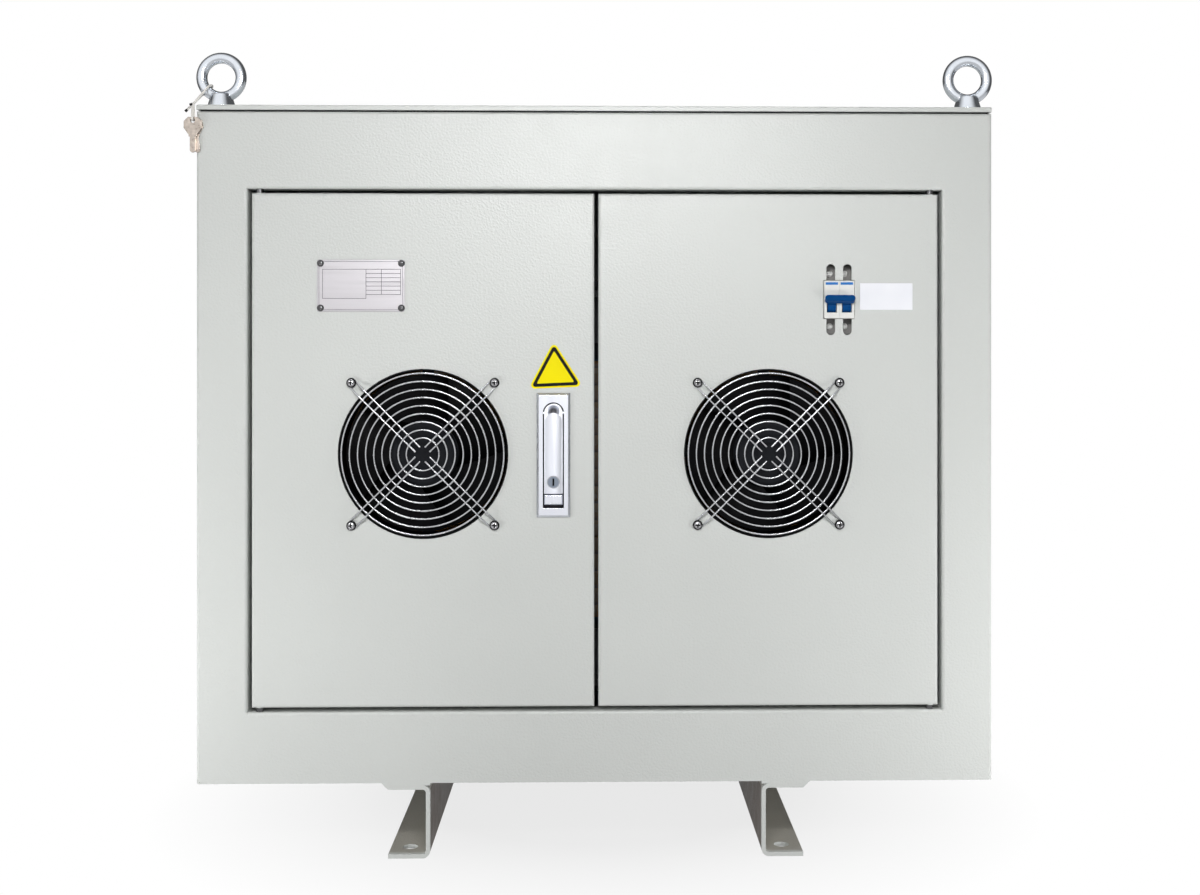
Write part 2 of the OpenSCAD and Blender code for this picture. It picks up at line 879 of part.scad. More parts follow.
module rotor() {
    difference() {
        union() {
            rotate_extrude() {
                square([hub_d / 2, hub_l - hub_edge]);
                square([hub_d / 2 - hub_edge, hub_l]);
                translate([hub_d / 2 - hub_edge, hub_l - hub_edge]) circle(hub_edge);
            }
            for (i = [0 : blades - 1])
                rotate(i * 360 / blades) blade();
        }
        translate([0, 0, -bite])
            cylinder(d = shaft_d + 2 * shaft_clear, h = shaft_l + shaft_clear + bite);
    }
}

module wire_section() {
    rotate(22.5) circle(wire_r, $fn = 8);
}

// One arm along X: two wires that bend down to the door and meet in an eye round the screw
module guard_arm() {
    for (side = [-1, 1]) translate([0, side * arm_gap / 2 + arm_wire / 2, 0]) rotate([90, 0, 0])
        linear_extrude(arm_wire) polygon([
            [arm_start, arm_lift], [arm_bend, arm_lift], [eye_screw_r, 0],
            [eye_screw_r, arm_wire], [arm_bend, arm_lift + arm_wire], [arm_start, arm_lift + arm_wire]
        ]);
    translate([eye_screw_r, 0, 0]) rotate([0, 0, -90])
        rotate_extrude(angle = 180) translate([(arm_gap - arm_wire) / 2, 0]) square(arm_wire);
}

module guard() {
    for (i = [0 : rings - 1])
        translate([0, 0, ring_lift]) rotate_extrude()
            translate([ring_first + i * ring_pitch, 0]) wire_section();
    for (turn = [45 : 90 : 315]) rotate(turn) guard_arm();
}

module fan_housing(sx) {
    color(black)
    translate([sx * door_x, door_back, fan_z]) stand() housing();
}

module fan_rotor(sx) {
    color(black)
    translate([sx * door_x, door_back + housing_d - motor_t - rotor_gap, fan_z]) stand() rotor();
}

module fan_guard(sx) {
    color(zinc)
    translate([sx * door_x, front_y, fan_z]) stand() guard();
}

// Lock

// The handle's two pins, from a distance inside the recess into its side walls
module stub_pins(d, inner) {
    for (side = [-1, 1]) translate([lock_x + side * inner, pivot_y, pivot_z]) rotate([0, side * 90, 0])
        cylinder(d = d, h = recess_w);
}

module lock_dish() {
    tub_d = recess_d - lock_proud + tub_t;
    color("gainsboro")
    difference() {
        union() {
            translate([lock_x, lock_front, lock_z])
                bevel_slab(lock_w, lock_proud, lock_h, lock_bevel);
            translate([lock_x, front_y + tub_d, lock_z]) stand()
                linear_extrude(tub_d + bite) arch(recess_w + 2 * tub_t, recess_h + 2 * tub_t);
        }
        difference() {
            translate([lock_x, lock_front + recess_d, lock_z]) stand()
                linear_extrude(recess_d + bite) arch(recess_w, recess_h);
            stub_pins(cross_pin_d, handle_w / 2 - stub_l);
        }
        translate([lock_x, lock_front, button_z]) rotate([-90, 0, 0])
            cylinder(d = stem_d + 2 * stem_clear, h = recess_d + tub_t + bite);
    }
}

// Swings in its recess on the stub pins: a plate with a finger hollow and a raised grip
module lock_handle() {
    length = handle_tip - handle_end;
    grip_l = grip_tip - handle_end;
    color("gainsboro")
    difference() {
        union() {
            difference() {
                translate([lock_x, lock_front + handle_t, handle_end + length / 2]) stand()
                    linear_extrude(handle_t) arch(handle_w, length);
                translate([lock_x, lock_front + scoop_d - scoop_r, grip_tip + scoop_d / 2]) sphere(scoop_r);
            }
            intersection() {
                translate([lock_x, lock_front + handle_t / 2, handle_end + grip_l / 2]) stand()
                    linear_extrude(handle_t) arch(grip_w, grip_l);
                translate([lock_x, grip_front + grip_crown, handle_end - bite])
                    cylinder(r = grip_crown, h = grip_l + 2 * bite);
            }
        }
        stub_pins(cross_pin_d + 2 * cross_clear, handle_w / 2 - stub_l - 2 * cross_clear);
        translate([lock_x, lock_front + handle_t + bite, barrel_z]) stand()
            cylinder(d = key_barrel_d, h = handle_t + grip_proud + 2 * bite);
    }
}

// Barrel with its keyway, let into the handle
module key_barrel() {
    proud = 0.6;
    keyway = [2.2, 9];
    keyway_d = 6;
    length = handle_t + grip_proud + proud;
    color("silver")
    translate([lock_x, lock_front + handle_t, barrel_z]) stand() difference() {
        cylinder(d = key_barrel_d - 0.2, h = length);
        translate([0, 0, length - keyway_d / 2 + bite])
            cube([keyway[0], keyway[1], keyway_d + 2 * bite], center = true);
    }
}

module lock_button() {
    edge = 1;
    color("gainsboro")
    translate([lock_x, lock_front, button_z]) {
        bevel_slab(handle_w, button_t, button_h, edge);
        rotate([-90, 0, 0]) translate([0, 0, button_t - bite])
            cylinder(d = stem_d, h = recess_d + tub_t - button_t + bite);
    }
}

module lock_cam() {
    tub_back = front_y + recess_d - lock_proud + tub_t;
    color(zinc)
    translate([lock_x, tub_back + cam_shaft_l, pivot_z - handle_w / 2]) stand() {
        cylinder(d = cam_w, h = cam_shaft_l);
        linear_extrude(cam_t) {
            circle(d = cam_w);
            translate([-cam_w / 2, -cam_l]) square([cam_w, cam_l]);
        }
    }
}

// Breaker

// Windows of the two toggles, as deep as the drums need
module toggle_windows() {
    depth = toggle_y + drum_r + 1 - nose_front;
    for (pole = [-0.5, 0.5])
        translate([pole * pole_w, nose_front - bite + (depth + bite) / 2, drum_r / 4 - toggle_drop])
            cube([toggle_window_w, depth + bite, toggle_window_h], center = true);
}

module breaker_body() {
    groove = 0.6;
    shoulder = nose_front + nose_d;
    back = nose_front + breaker_d;
    color("whitesmoke")
    translate([breaker_x, 0, breaker_z]) difference() {
        union() {
            translate([-breaker_w / 2, nose_front, -nose_h / 2]) cube([breaker_w, nose_d + bite, nose_h]);
            translate([-breaker_w / 2, shoulder, -breaker_h / 2])
                cube([breaker_w, back - shoulder, breaker_h]);
        }
        // Wells over the terminal screws
        for (pole = [-0.5, 0.5], end = [-1, 1])
            translate([pole * pole_w, shoulder - bite, end * terminal_z]) rotate([-90, 0, 0])
                cylinder(d = well_d, h = well_depth + bite);
        // Seam between the poles
        translate([-groove / 2, nose_front - bite, -breaker_h]) cube([groove, groove + bite, 2 * breaker_h]);
        difference() {
            toggle_windows();
            translate([-breaker_w / 2, toggle_y, -toggle_drop]) rotate([0, 90, 0])
                cylinder(d = toggle_pin_d, h = breaker_w);
        }
    }
}

module breaker_toggle() {
    lever_t = 5;
    color("royalblue")
    translate([breaker_x, toggle_y, toggle_z]) difference() {
        rotate([-toggle_on, 0, 0]) {
            for (pole = [-0.5, 0.5]) translate([pole * pole_w - drum_w / 2, 0, 0]) {
                rotate([0, 90, 0]) cylinder(r = drum_r, h = drum_w);
                translate([0, -lever_l, -lever_t / 2]) cube([drum_w, lever_l, lever_t]);
            }
            translate([0, tie_d - lever_l, 0]) stand() linear_extrude(tie_d) {
                square([tie_w - tie_h, tie_h], center = true);
                for (end = [-1, 1])
                    translate([end * (tie_w - tie_h) / 2, 0]) circle(d = tie_h);
            }
        }
        translate([-breaker_w, 0, 0]) rotate([0, 90, 0])
            cylinder(d = toggle_pin_d + 2 * cross_clear, h = 2 * breaker_w);
    }
}

// Strap bent round the breaker's back, its two feet on the door
module breaker_bracket() {
    inside = breaker_w / 2 + bracket_gap;
    outside = inside + bracket_t;
    back = nose_front + breaker_d;
    color(zinc)
    translate([breaker_x, 0, breaker_z - bracket_h / 2]) linear_extrude(bracket_h) {
        for (side = [0, 1]) mirror([side, 0]) {
            translate([inside, door_back]) square([bracket_t, back + bracket_t - door_back]);
            translate([inside, door_back]) square([bracket_foot, bracket_t]);
        }
        translate([-outside, back]) square([2 * outside, bracket_t]);
    }
}

// Core and coils

module core() {
    color("dimgray")
    translate([0, core_back + core_d / 2, core_z]) rotate([90, 0, 0]) linear_extrude(core_d) difference() {
        translate([-core_w / 2, 0]) square([core_w, core_h]);
        for (side = [-1, 1])
            translate([side * (limb_w + window_w) / 2 - window_w / 2, limb_w])
                square([window_w, core_h - 2 * limb_w]);
    }
}

// Rectangle with four round corners, about its middle
module round_rect(w, d, r) {
    square([w - 2 * r, d], center = true);
    square([w, d - 2 * r], center = true);
    for (sx = [-1, 1], sy = [-1, 1])
        translate([sx * (w / 2 - r), sy * (d / 2 - r)]) circle(r);
}

module coil(place) {
    color("darkgoldenrod")
    translate([place * limb_pitch, core_back, core_z + limb_w + coil_end]) linear_extrude(coil_h) difference() {
        round_rect(coil_w, coil_d, coil_r);
        square([limb_w + 2 * coil_gap, core_d + 2 * coil_gap], center = true);
    }
}

// Blocks in the core's windows that hold the coils away from the yokes
module coil_blocks() {
    color("wheat")
    for (side = [-1, 1], z = [core_z + limb_w, core_z + core_h - limb_w - coil_end])
        translate([side * limb_pitch / 2 - block_w / 2, core_back - block_d / 2, z])
            cube([block_w, block_d, coil_end]);
}

// Angle bars on the front and back of a yoke, flanges turned away from the core
module yoke_clamps(z, flange_up) {
    length = core_w + 2 * clamp_over;
    flange_z = flange_up ? clamp_h - clamp_t : 0;
    color("slategray")
    for (side = [0, 1])
        translate([0, core_back, z]) mirror([0, side, 0]) {
            translate([-length / 2, core_d / 2, 0]) cube([length, clamp_t, clamp_h]);
            translate([-length / 2, core_d / 2, flange_z]) cube([length, clamp_flange, clamp_t]);
        }
}

module upper_clamps() {
    yoke_clamps(core_z + core_h - limb_w / 2 - clamp_h / 2, true);
}

module lower_clamps() {
    yoke_clamps(core_z + limb_w / 2 - clamp_h / 2, false);
}

module core_bearers() {
    color("slategray")
    for (side = [-1, 1])
        translate([side * bearer_x / 2, core_back + bearer_l / 2, floor_z + floor_t]) rotate([90, 0, 0])
            linear_extrude(bearer_l) difference() {
                translate([-bearer_w / 2, 0]) square([bearer_w, bearer_h]);
                translate([-bearer_w / 2 + bearer_t, -bite])
                    square([bearer_w - 2 * bearer_t, bearer_h - bearer_t + bite]);
            }
}

// Keys

// Straight wire between two points with round ends
module wire(a, b, d) {
    run = b - a;
    length = norm(run);
    knee = 1.1 * d;
    translate(a) sphere(d = knee);
    translate(a) rotate([0, acos(run[2] / length), atan2(run[1], run[0])]) cylinder(d = d, h = length);
    translate(b) sphere(d = knee);
}

// Loop of wire through the ring of the eyebolt, over the cover's corner and down to the keys
module key_loop() {
    turn = 40;
    steps = 5;
    ring_r = (eye_od + eye_id) / 4;
    around = (eye_od - eye_id) / 4 + loop_wire / 2 + 0.7;
    inward = [cos(turn), 0, sin(turn)];
    hold = [-eye_x, -eye_y, cover_z + eye_h - eye_od / 2] - ring_r * inward;
    corner = [-body_w / 2 - loop_wire, front_y - loop_wire, cover_z];
    // Where the straight strands leave the bend round the ring, as angles in its section
    away = corner - hold;
    away_u = away * inward;
    middle = atan2(away[1], away_u);
    half = acos(around / norm([away_u, away[1]]));
    first = middle + half;
    last = middle - half + 360;
    bend = [
        for (i = [0 : steps])
            let (angle = first + i * (last - first) / steps)
            hold + around * (cos(angle) * inward + [0, sin(angle), 0])
    ];
    // Keeps the wire's round knees out of the bow
    slack = 0.12;
    hook_z = bow_hole_z + (bow_hole - loop_wire) / 2 - slack;
    hook = [bow_hole_x, front_key_y - loop_wire, hook_z];
    tail = [bow_hole_x, rear_key_y + key_t + bite, hook_z];
    color(zinc) {
        for (i = [0 : steps - 1]) wire(bend[i], bend[i + 1], loop_wire);
        wire(corner, bend[0], loop_wire);
        wire(corner, bend[steps], loop_wire);
        wire(corner, hook, loop_wire);
        wire(hook, tail, loop_wire);
    }
}

// Flat key hanging from the hole in its bow
module key(y, swing) {
    shoulder = 3;
    hole_z = bow_h - bow_hole / 2 - bow_rim;
    color("rosybrown")
    translate([bow_hole_x, y, bow_hole_z]) rotate([0, swing, 0]) translate([0, key_t, -hole_z]) stand()
        linear_extrude(key_t) difference() {
            union() {
                polygon([
                    [-bow_w / 2 + 5, 0], [bow_w / 2 - 5, 0], [bow_w / 2, 7], [bow_w / 2, bow_h - 5],
                    [bow_w / 2 - 5, bow_h], [-bow_w / 2 + 5, bow_h], [-bow_w / 2, bow_h - 5], [-bow_w / 2, 7]
                ]);
                translate([-blade_w / 2 - shoulder / 2, -shoulder]) square([blade_w + shoulder, shoulder + bite]);
                translate([-blade_w / 2, -blade_l + blade_w / 2]) square([blade_w, blade_l]);
                translate([0, -blade_l + blade_w / 2]) circle(d = blade_w);
            }
            translate([0, hole_z]) circle(d = bow_hole);
        }
}

module keys() {
    key(front_key_y, 0);
    key(rear_key_y, -key_swing);
}

left_foot();
right_foot();
foot_strips();
floor_plate();
left_wall();
right_wall();
back_wall();
left_stile();
right_stile();
top_rail();
bottom_rail();
cover_seal();
top_cover();
eyebolt(-1, -1);  // eyebolt_front_left
eyebolt(1, -1);  // eyebolt_front_right
eyebolt(-1, 1);  // eyebolt_rear_left
eyebolt(1, 1);  // eyebolt_rear_right
hinge_pins(-1);  // left_hinge_pins
hinge_pins(1);  // right_hinge_pins
core();
coil(-1);  // left_coil
coil(0);  // middle_coil
coil(1);  // right_coil
coil_blocks();
upper_clamps();
lower_clamps();
core_bearers();
key_loop();
keys();
left_door_panel();
fan_housing(-1);  // left_fan_housing
fan_rotor(-1);  // left_fan_rotor
fan_guard(-1);  // left_fan_guard
lock_dish();
lock_handle();
key_barrel();
lock_button();
lock_cam();
right_door_panel();
fan_housing(1);  // right_fan_housing
fan_rotor(1);  // right_fan_rotor
fan_guard(1);  // right_fan_guard
breaker_body();
breaker_toggle();
breaker_bracket();
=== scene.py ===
"""Power transformer in a two-door steel cabinet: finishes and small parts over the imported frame."""

import json
import math

import bmesh
import bpy
from mathutils import Matrix, Vector


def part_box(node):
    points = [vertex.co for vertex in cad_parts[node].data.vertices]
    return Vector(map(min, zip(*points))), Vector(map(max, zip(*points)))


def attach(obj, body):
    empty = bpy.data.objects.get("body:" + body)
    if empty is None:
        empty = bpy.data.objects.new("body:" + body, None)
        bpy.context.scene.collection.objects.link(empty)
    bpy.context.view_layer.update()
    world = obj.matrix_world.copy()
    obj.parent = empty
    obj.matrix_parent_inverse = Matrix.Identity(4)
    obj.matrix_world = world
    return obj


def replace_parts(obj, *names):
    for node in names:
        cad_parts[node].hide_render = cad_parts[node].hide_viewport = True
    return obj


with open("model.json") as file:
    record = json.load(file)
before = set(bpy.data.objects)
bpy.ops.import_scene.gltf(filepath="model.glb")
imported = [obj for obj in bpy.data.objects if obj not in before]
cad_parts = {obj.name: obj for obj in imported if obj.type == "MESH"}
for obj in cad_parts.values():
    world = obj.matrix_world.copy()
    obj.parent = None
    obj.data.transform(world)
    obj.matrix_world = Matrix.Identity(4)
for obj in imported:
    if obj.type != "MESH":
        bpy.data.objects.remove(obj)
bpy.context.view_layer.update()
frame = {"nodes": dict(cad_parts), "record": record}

MM = 0.001
SIDES = {"left": -1, "right": 1}


# Places and sizes that match the solids

def box_of(node):
    """Lowest and highest corner of a solid."""
    return [Vector(corner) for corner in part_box(node)]


def middle(node):
    low, high = box_of(node)
    return (low + high) / 2


DOOR_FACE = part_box("left_door_panel")[0][1]
FAN_SCREW_PITCH = 170 * MM
GUARD_WIRE = 2.1 * MM
GUARD_RING_LIFT = 5 * MM
GUARD_SCREW_HEIGHT = 4 * MM
GUARD_ARM_GAPS = (7.8 * MM, 9.6 * MM)
GUARD_RINGS = {"First": 19.4 * MM, "Pitch": 9.62 * MM, "Count": 9}
ANCHOR_X = 225 * MM
ANCHOR_Y = 270 * MM
ANCHOR_RADIUS = 9 * MM


# Finishes

BLADE_BLACK = (0.002, 0.002, 0.0025)
HUB_GREY = (0.014, 0.015, 0.018)
HUB_RADIUS = 40.1 * MM
BARREL_RIM_RADIUS = 6.3 * MM
CHROME = {
    "colour": (0.85, 0.87, 0.94),
    "roughness": 0.24,
    "grain": 120.0,
    "along": (1.0, 1.0, 0.08),
    "spread": 0.04,
}
SATIN_CHROME = {**CHROME, "roughness": 0.36}
PAINT = (0.630, 0.648, 0.628)

# Width over which one colour turns into another
EDGE_BLUR = 0.3 * MM

# Colour sockets of a Mix node
MIX_A, MIX_B, MIX_RESULT = 6, 7, 2


def ramp(tree, value, start, end, low=0.0, high=1.0):
    """Node that runs from low to high as the value goes from start to end."""
    node = tree.nodes.new("ShaderNodeMapRange")
    for key, number in (("From Min", start), ("From Max", end), ("To Min", low), ("To Max", high)):
        node.inputs[key].default_value = number
    tree.links.new(value, node.inputs["Value"])
    return node


class Finish:
    """A material under construction, with its shader and its Object coordinates."""

    def __init__(self, name, colour, roughness, metallic=0.0):
        self.material = bpy.data.materials.new(name)
        self.material.use_nodes = True
        self.tree = self.material.node_tree
        self.shader = self.tree.nodes["Principled BSDF"]
        self.set("Base Color", (*colour, 1.0))
        self.set("Roughness", roughness)
        self.set("Metallic", metallic)
        self.coords = self.add("ShaderNodeTexCoord").outputs["Object"]

    def add(self, kind, **settings):
        node = self.tree.nodes.new(kind)
        for key, value in settings.items():
            setattr(node, key, value)
        return node

    def set(self, socket, value):
        self.shader.inputs[socket].default_value = value

    def link(self, source, target):
        self.tree.links.new(source, target)

    def stretched(self, scale):
        """Object coordinates stretched by a factor on each axis."""
        mapping = self.add("ShaderNodeMapping")
        mapping.inputs["Scale"].default_value = scale
        self.link(self.coords, mapping.inputs["Vector"])
        return mapping.outputs["Vector"]

    def noise(self, scale, detail=2.0, vector=None):
        node = self.add("ShaderNodeTexNoise")
        node.inputs["Scale"].default_value = scale
        node.inputs["Detail"].default_value = detail
        self.link(vector or self.coords, node.inputs["Vector"])
        return node.outputs["Fac"]

    def bands(self, axis, scale, distortion, profile="SIN"):
        node = self.add("ShaderNodeTexWave", wave_type="BANDS", bands_direction=axis, wave_profile=profile)
        node.inputs["Scale"].default_value = scale
        node.inputs["Distortion"].default_value = distortion
        self.link(self.coords, node.inputs["Vector"])
        return node.outputs["Fac"]

    def span(self, factor, low, high, start=0.3, end=0.7):
        """Maps a factor between start and end to a value between low and high."""
        return ramp(self.tree, factor, start, end, low, high).outputs["Result"]

    def colours(self, factor, *stops):
        """Colour ramp: each stop is a place and a colour."""
        node = self.add("ShaderNodeValToRGB")
        elements = node.color_ramp.elements
        while len(elements) < len(stops):
            elements.new(0.5)
        for element, (place, colour) in zip(elements, stops):
            element.position = place
            element.color = (*colour, 1.0)
        self.link(factor, node.inputs["Fac"])
        self.link(node.outputs["Color"], self.shader.inputs["Base Color"])

    def roughness(self, factor, low, high):
        self.link(self.span(factor, low, high), self.shader.inputs["Roughness"])

    def bump(self, height, strength, depth, edge=0.0):
        """Relief from a height, over edges that are softened to a radius."""
        node = self.add("ShaderNodeBump")
        node.inputs["Strength"].default_value = strength
        node.inputs["Distance"].default_value = depth
        self.link(height, node.inputs["Height"])
        self.link(node.outputs["Normal"], self.shader.inputs["Normal"])
        if edge:
            soft = self.add("ShaderNodeBevel", samples=6)
            soft.inputs["Radius"].default_value = edge
            self.link(soft.outputs["Normal"], node.inputs["Normal"])


def shade(colour, factor):
    return tuple(min(1.0, channel * factor) for channel in colour)


def powder_coat(name, colour, grain=360.0):
    """Pale powder coat with a fine wrinkle."""
    finish = Finish(name, colour, 0.4)
    finish.colours(finish.noise(3.0, 3.0), (0.3, shade(colour, 0.97)), (0.7, shade(colour, 1.03)))
    finish.roughness(finish.noise(40.0), 0.30, 0.38)
    finish.bump(finish.noise(grain, 3.0), 0.9, 0.0006)
    return finish.material


def metal(name, colour, roughness, grain=90.0, along=(1.0, 1.0, 1.0), spread=0.12, edge=0.0006):
    """Bare or plated metal with fine streaks along one axis."""
    finish = Finish(name, colour, roughness, 1.0)
    streaks = finish.noise(grain, 3.0, finish.stretched(along))
    finish.colours(streaks, (0.25, shade(colour, 1.0 - spread)), (0.75, shade(colour, 1.0 + spread)))
    finish.roughness(streaks, roughness * 0.8, roughness * 1.25)
    finish.bump(streaks, 0.05, 0.0002, edge)
    return finish.material


def moulded(name, colour, roughness, grain=700.0, bump=0.08, gloss=0.5):
    """Moulded plastic, rubber or smooth paint with a slight grain."""
    finish = Finish(name, colour, roughness)
    finish.set("Specular IOR Level", gloss)
    finish.colours(finish.noise(12.0), (0.3, shade(colour, 0.93)), (0.7, shade(colour, 1.07)))
    finish.roughness(finish.noise(60.0), roughness * 0.85, roughness * 1.15)
    finish.bump(finish.noise(grain), bump, 0.0003, 0.0005)
    return finish.material


def laminated_steel(name):
    """Stack of thin varnished sheets, seen on edge."""
    finish = Finish(name, (0.10, 0.10, 0.11), 0.5, 0.4)
    sheets = finish.bands("Y", 150.0, 0.6)
    finish.colours(sheets, (0.2, (0.05, 0.05, 0.055)), (0.8, (0.15, 0.15, 0.16)))
    finish.roughness(finish.noise(25.0), 0.4, 0.6)
    finish.bump(sheets, 0.3, 0.0004)
    return finish.material


def varnished_coil(name):
    """Coil taped in turns and dipped in amber varnish."""
    amber = (0.32, 0.15, 0.04)
    finish = Finish(name, amber, 0.25)
    turns = finish.bands("Z", 14.0, 0.8, "SAW")
    finish.colours(turns, (0.0, shade(amber, 0.6)), (0.25, amber), (1.0, shade(amber, 1.3)))
    finish.roughness(finish.noise(30.0), 0.18, 0.36)
    finish.bump(turns, 0.4, 0.002)
    finish.set("Coat Weight", 0.5)
    return finish.material


def blended(material, factor, colour):
    """The finish in another colour where the factor is 1."""
    tree = material.node_tree
    shader = tree.nodes["Principled BSDF"]
    own_colour = shader.inputs["Base Color"].links[0].from_socket
    blend = tree.nodes.new("ShaderNodeMix")
    blend.data_type = "RGBA"
    tree.links.new(factor, blend.inputs["Factor"])
    tree.links.new(own_colour, blend.inputs[MIX_A])
    blend.inputs[MIX_B].default_value = (*colour, 1.0)
    tree.links.new(blend.outputs[MIX_RESULT], shader.inputs["Base Color"])
    return material


def painted_shade_behind(name, finish_maker, face_y, depth, inside, **words):
    """Finish with shade painted into its colour behind a face, where a deep recess or slot lies in shade."""
    material = finish_maker(name, **words)
    tree = material.node_tree
    axes = tree.nodes.new("ShaderNodeSeparateXYZ")
    tree.links.new(tree.nodes.new("ShaderNodeTexCoord").outputs["Object"], axes.inputs[0])
    behind = ramp(tree, axes.outputs["Y"], face_y, face_y + depth)
    return blended(material, behind.outputs["Result"], inside)


def foot_paint(name, under_shade, shaded):
    """Powder coat with shade painted in under the cabinet, and darker painted shade on the faces that look
    inward.
    """
    material = powder_coat(name, PAINT)
    tree = material.node_tree
    folded = tree.nodes.new("ShaderNodeVectorMath")
    folded.operation = "ABSOLUTE"
    tree.links.new(tree.nodes.new("ShaderNodeTexCoord").outputs["Object"], folded.inputs[0])
    from_hole = tree.nodes.new("ShaderNodeMapping")
    from_hole.inputs["Location"].default_value = (-ANCHOR_X, -ANCHOR_Y, 0.0)
    from_hole.inputs["Scale"].default_value = (1.0, 1.0, 0.0)
    tree.links.new(folded.outputs["Vector"], from_hole.inputs["Vector"])
    reach = tree.nodes.new("ShaderNodeVectorMath")
    reach.operation = "LENGTH"
    tree.links.new(from_hole.outputs["Vector"], reach.inputs[0])
    clear = ramp(tree, reach.outputs["Value"], ANCHOR_RADIUS, ANCHOR_RADIUS + EDGE_BLUR)
    axes = tree.nodes.new("ShaderNodeSeparateXYZ")
    tree.links.new(folded.outputs["Vector"], axes.inputs[0])
    # Painted shade: behind the foot's end the paint turns to the shade colour, except round the anchor holes
    foot_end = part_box("left_foot")[1][1]
    shade_ends, paint_starts = foot_end - 11 * MM, foot_end - 3 * MM
    under = ramp(tree, axes.outputs["Y"], shade_ends, paint_starts, 1.0, 0.0)
    tree.links.new(clear.outputs["Result"], under.inputs["To Min"])
    tree.nodes["Principled BSDF"].inputs["Specular IOR Level"].default_value = 0.1
    blended(material, under.outputs["Result"], under_shade)
    # Painted shade: the faces that look inward take a darker shade colour
    inner_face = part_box("right_foot")[0][0]
    inward = ramp(tree, axes.outputs["X"], inner_face + EDGE_BLUR, inner_face + 0.8 * MM, 1.0, 0.0)
    tree.links.new(under.outputs["Result"], inward.inputs["To Min"])
    return blended(material, inward.outputs["Result"], shaded)


def two_tone(name, node, radius, inner, outer, roughness, metallic=0.0, gloss=0.5):
    """Finish of a turned part whose axis runs along Y, with one colour inside a radius and one outside."""
    finish = Finish(name, inner, roughness, metallic)
    finish.set("Specular IOR Level", gloss)
    centre = middle(node)
    flat = finish.add("ShaderNodeMapping")
    flat.inputs["Location"].default_value = (-centre.x, 0.0, -centre.z)
    flat.inputs["Scale"].default_value = (1.0, 0.0, 1.0)
    finish.link(finish.coords, flat.inputs["Vector"])
    reach = finish.add("ShaderNodeVectorMath", operation="LENGTH")
    finish.link(flat.outputs["Vector"], reach.inputs[0])
    outside = finish.span(reach.outputs["Value"], 0.0, 1.0, radius, radius + EDGE_BLUR)
    finish.colours(outside, (0.0, inner), (1.0, outer))
    finish.roughness(finish.noise(60.0), roughness * 0.85, roughness * 1.15)
    finish.bump(finish.noise(700.0), 0.08, 0.0003)
    return finish.material


def rotor_finish(side):
    """Dark grey hub and nearly black blades."""
    return two_tone(
        f"{side}_rotor_black", f"{side}_fan_rotor", HUB_RADIUS, HUB_GREY, BLADE_BLACK, 0.55, gloss=0.06
    )


def barrel_finish(name):
    """Dark barrel with a pale rim."""
    dark, pale = (0.25, 0.285, 0.345), (0.44, 0.46, 0.50)
    return two_tone(name, "key_barrel", BARREL_RIM_RADIUS, dark, pale, 0.3, 1.0)


# Finish of each material slot
FINISHES = {
    "grey_paint": powder_coat("grey_powder_coat", PAINT),
    "bright_zinc": metal("bright_zinc", (0.78, 0.82, 0.88), 0.16, 60.0, spread=0.04, edge=0.0025),
    "zinc_plate": metal("zinc_plate", (0.60, 0.61, 0.63), 0.26),
    "black_rubber": moulded("black_rubber", (0.014, 0.014, 0.015), 0.7, gloss=0.3),
    "core_steel": laminated_steel("laminated_core"),
    "coil_varnish": varnished_coil("varnished_coil"),
    "block_resin": moulded("cast_resin", (0.52, 0.42, 0.24), 0.5),
    "frame_steel": powder_coat("primer_grey", (0.20, 0.21, 0.22)),
    "key_nickel": metal("key_nickel", (0.50, 0.44, 0.39), 0.3, 240.0, spread=0.25),
    "fan_black": moulded("fan_black", (0.006, 0.006, 0.007), 0.45, gloss=0.15),
    "lock_chrome": metal("lock_satin_chrome", **CHROME),
    "toggle_blue": moulded("toggle_blue", (0.002, 0.060, 0.22), 0.3, gloss=0.1),
    "loop_cover": moulded("loop_cover", (0.74, 0.72, 0.68), 0.35),
}

# Solids with a finish of their own
LOCK_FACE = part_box("lock_dish")[0][1]
NOSE_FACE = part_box("breaker_body")[0][1]
BARREL_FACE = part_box("key_barrel")[0][1]
# Feet with shade painted in under the cabinet and on their inward faces
FOOT_PAINT = foot_paint("foot_paint", (0.45, 0.435, 0.39), (0.090, 0.062, 0.044))
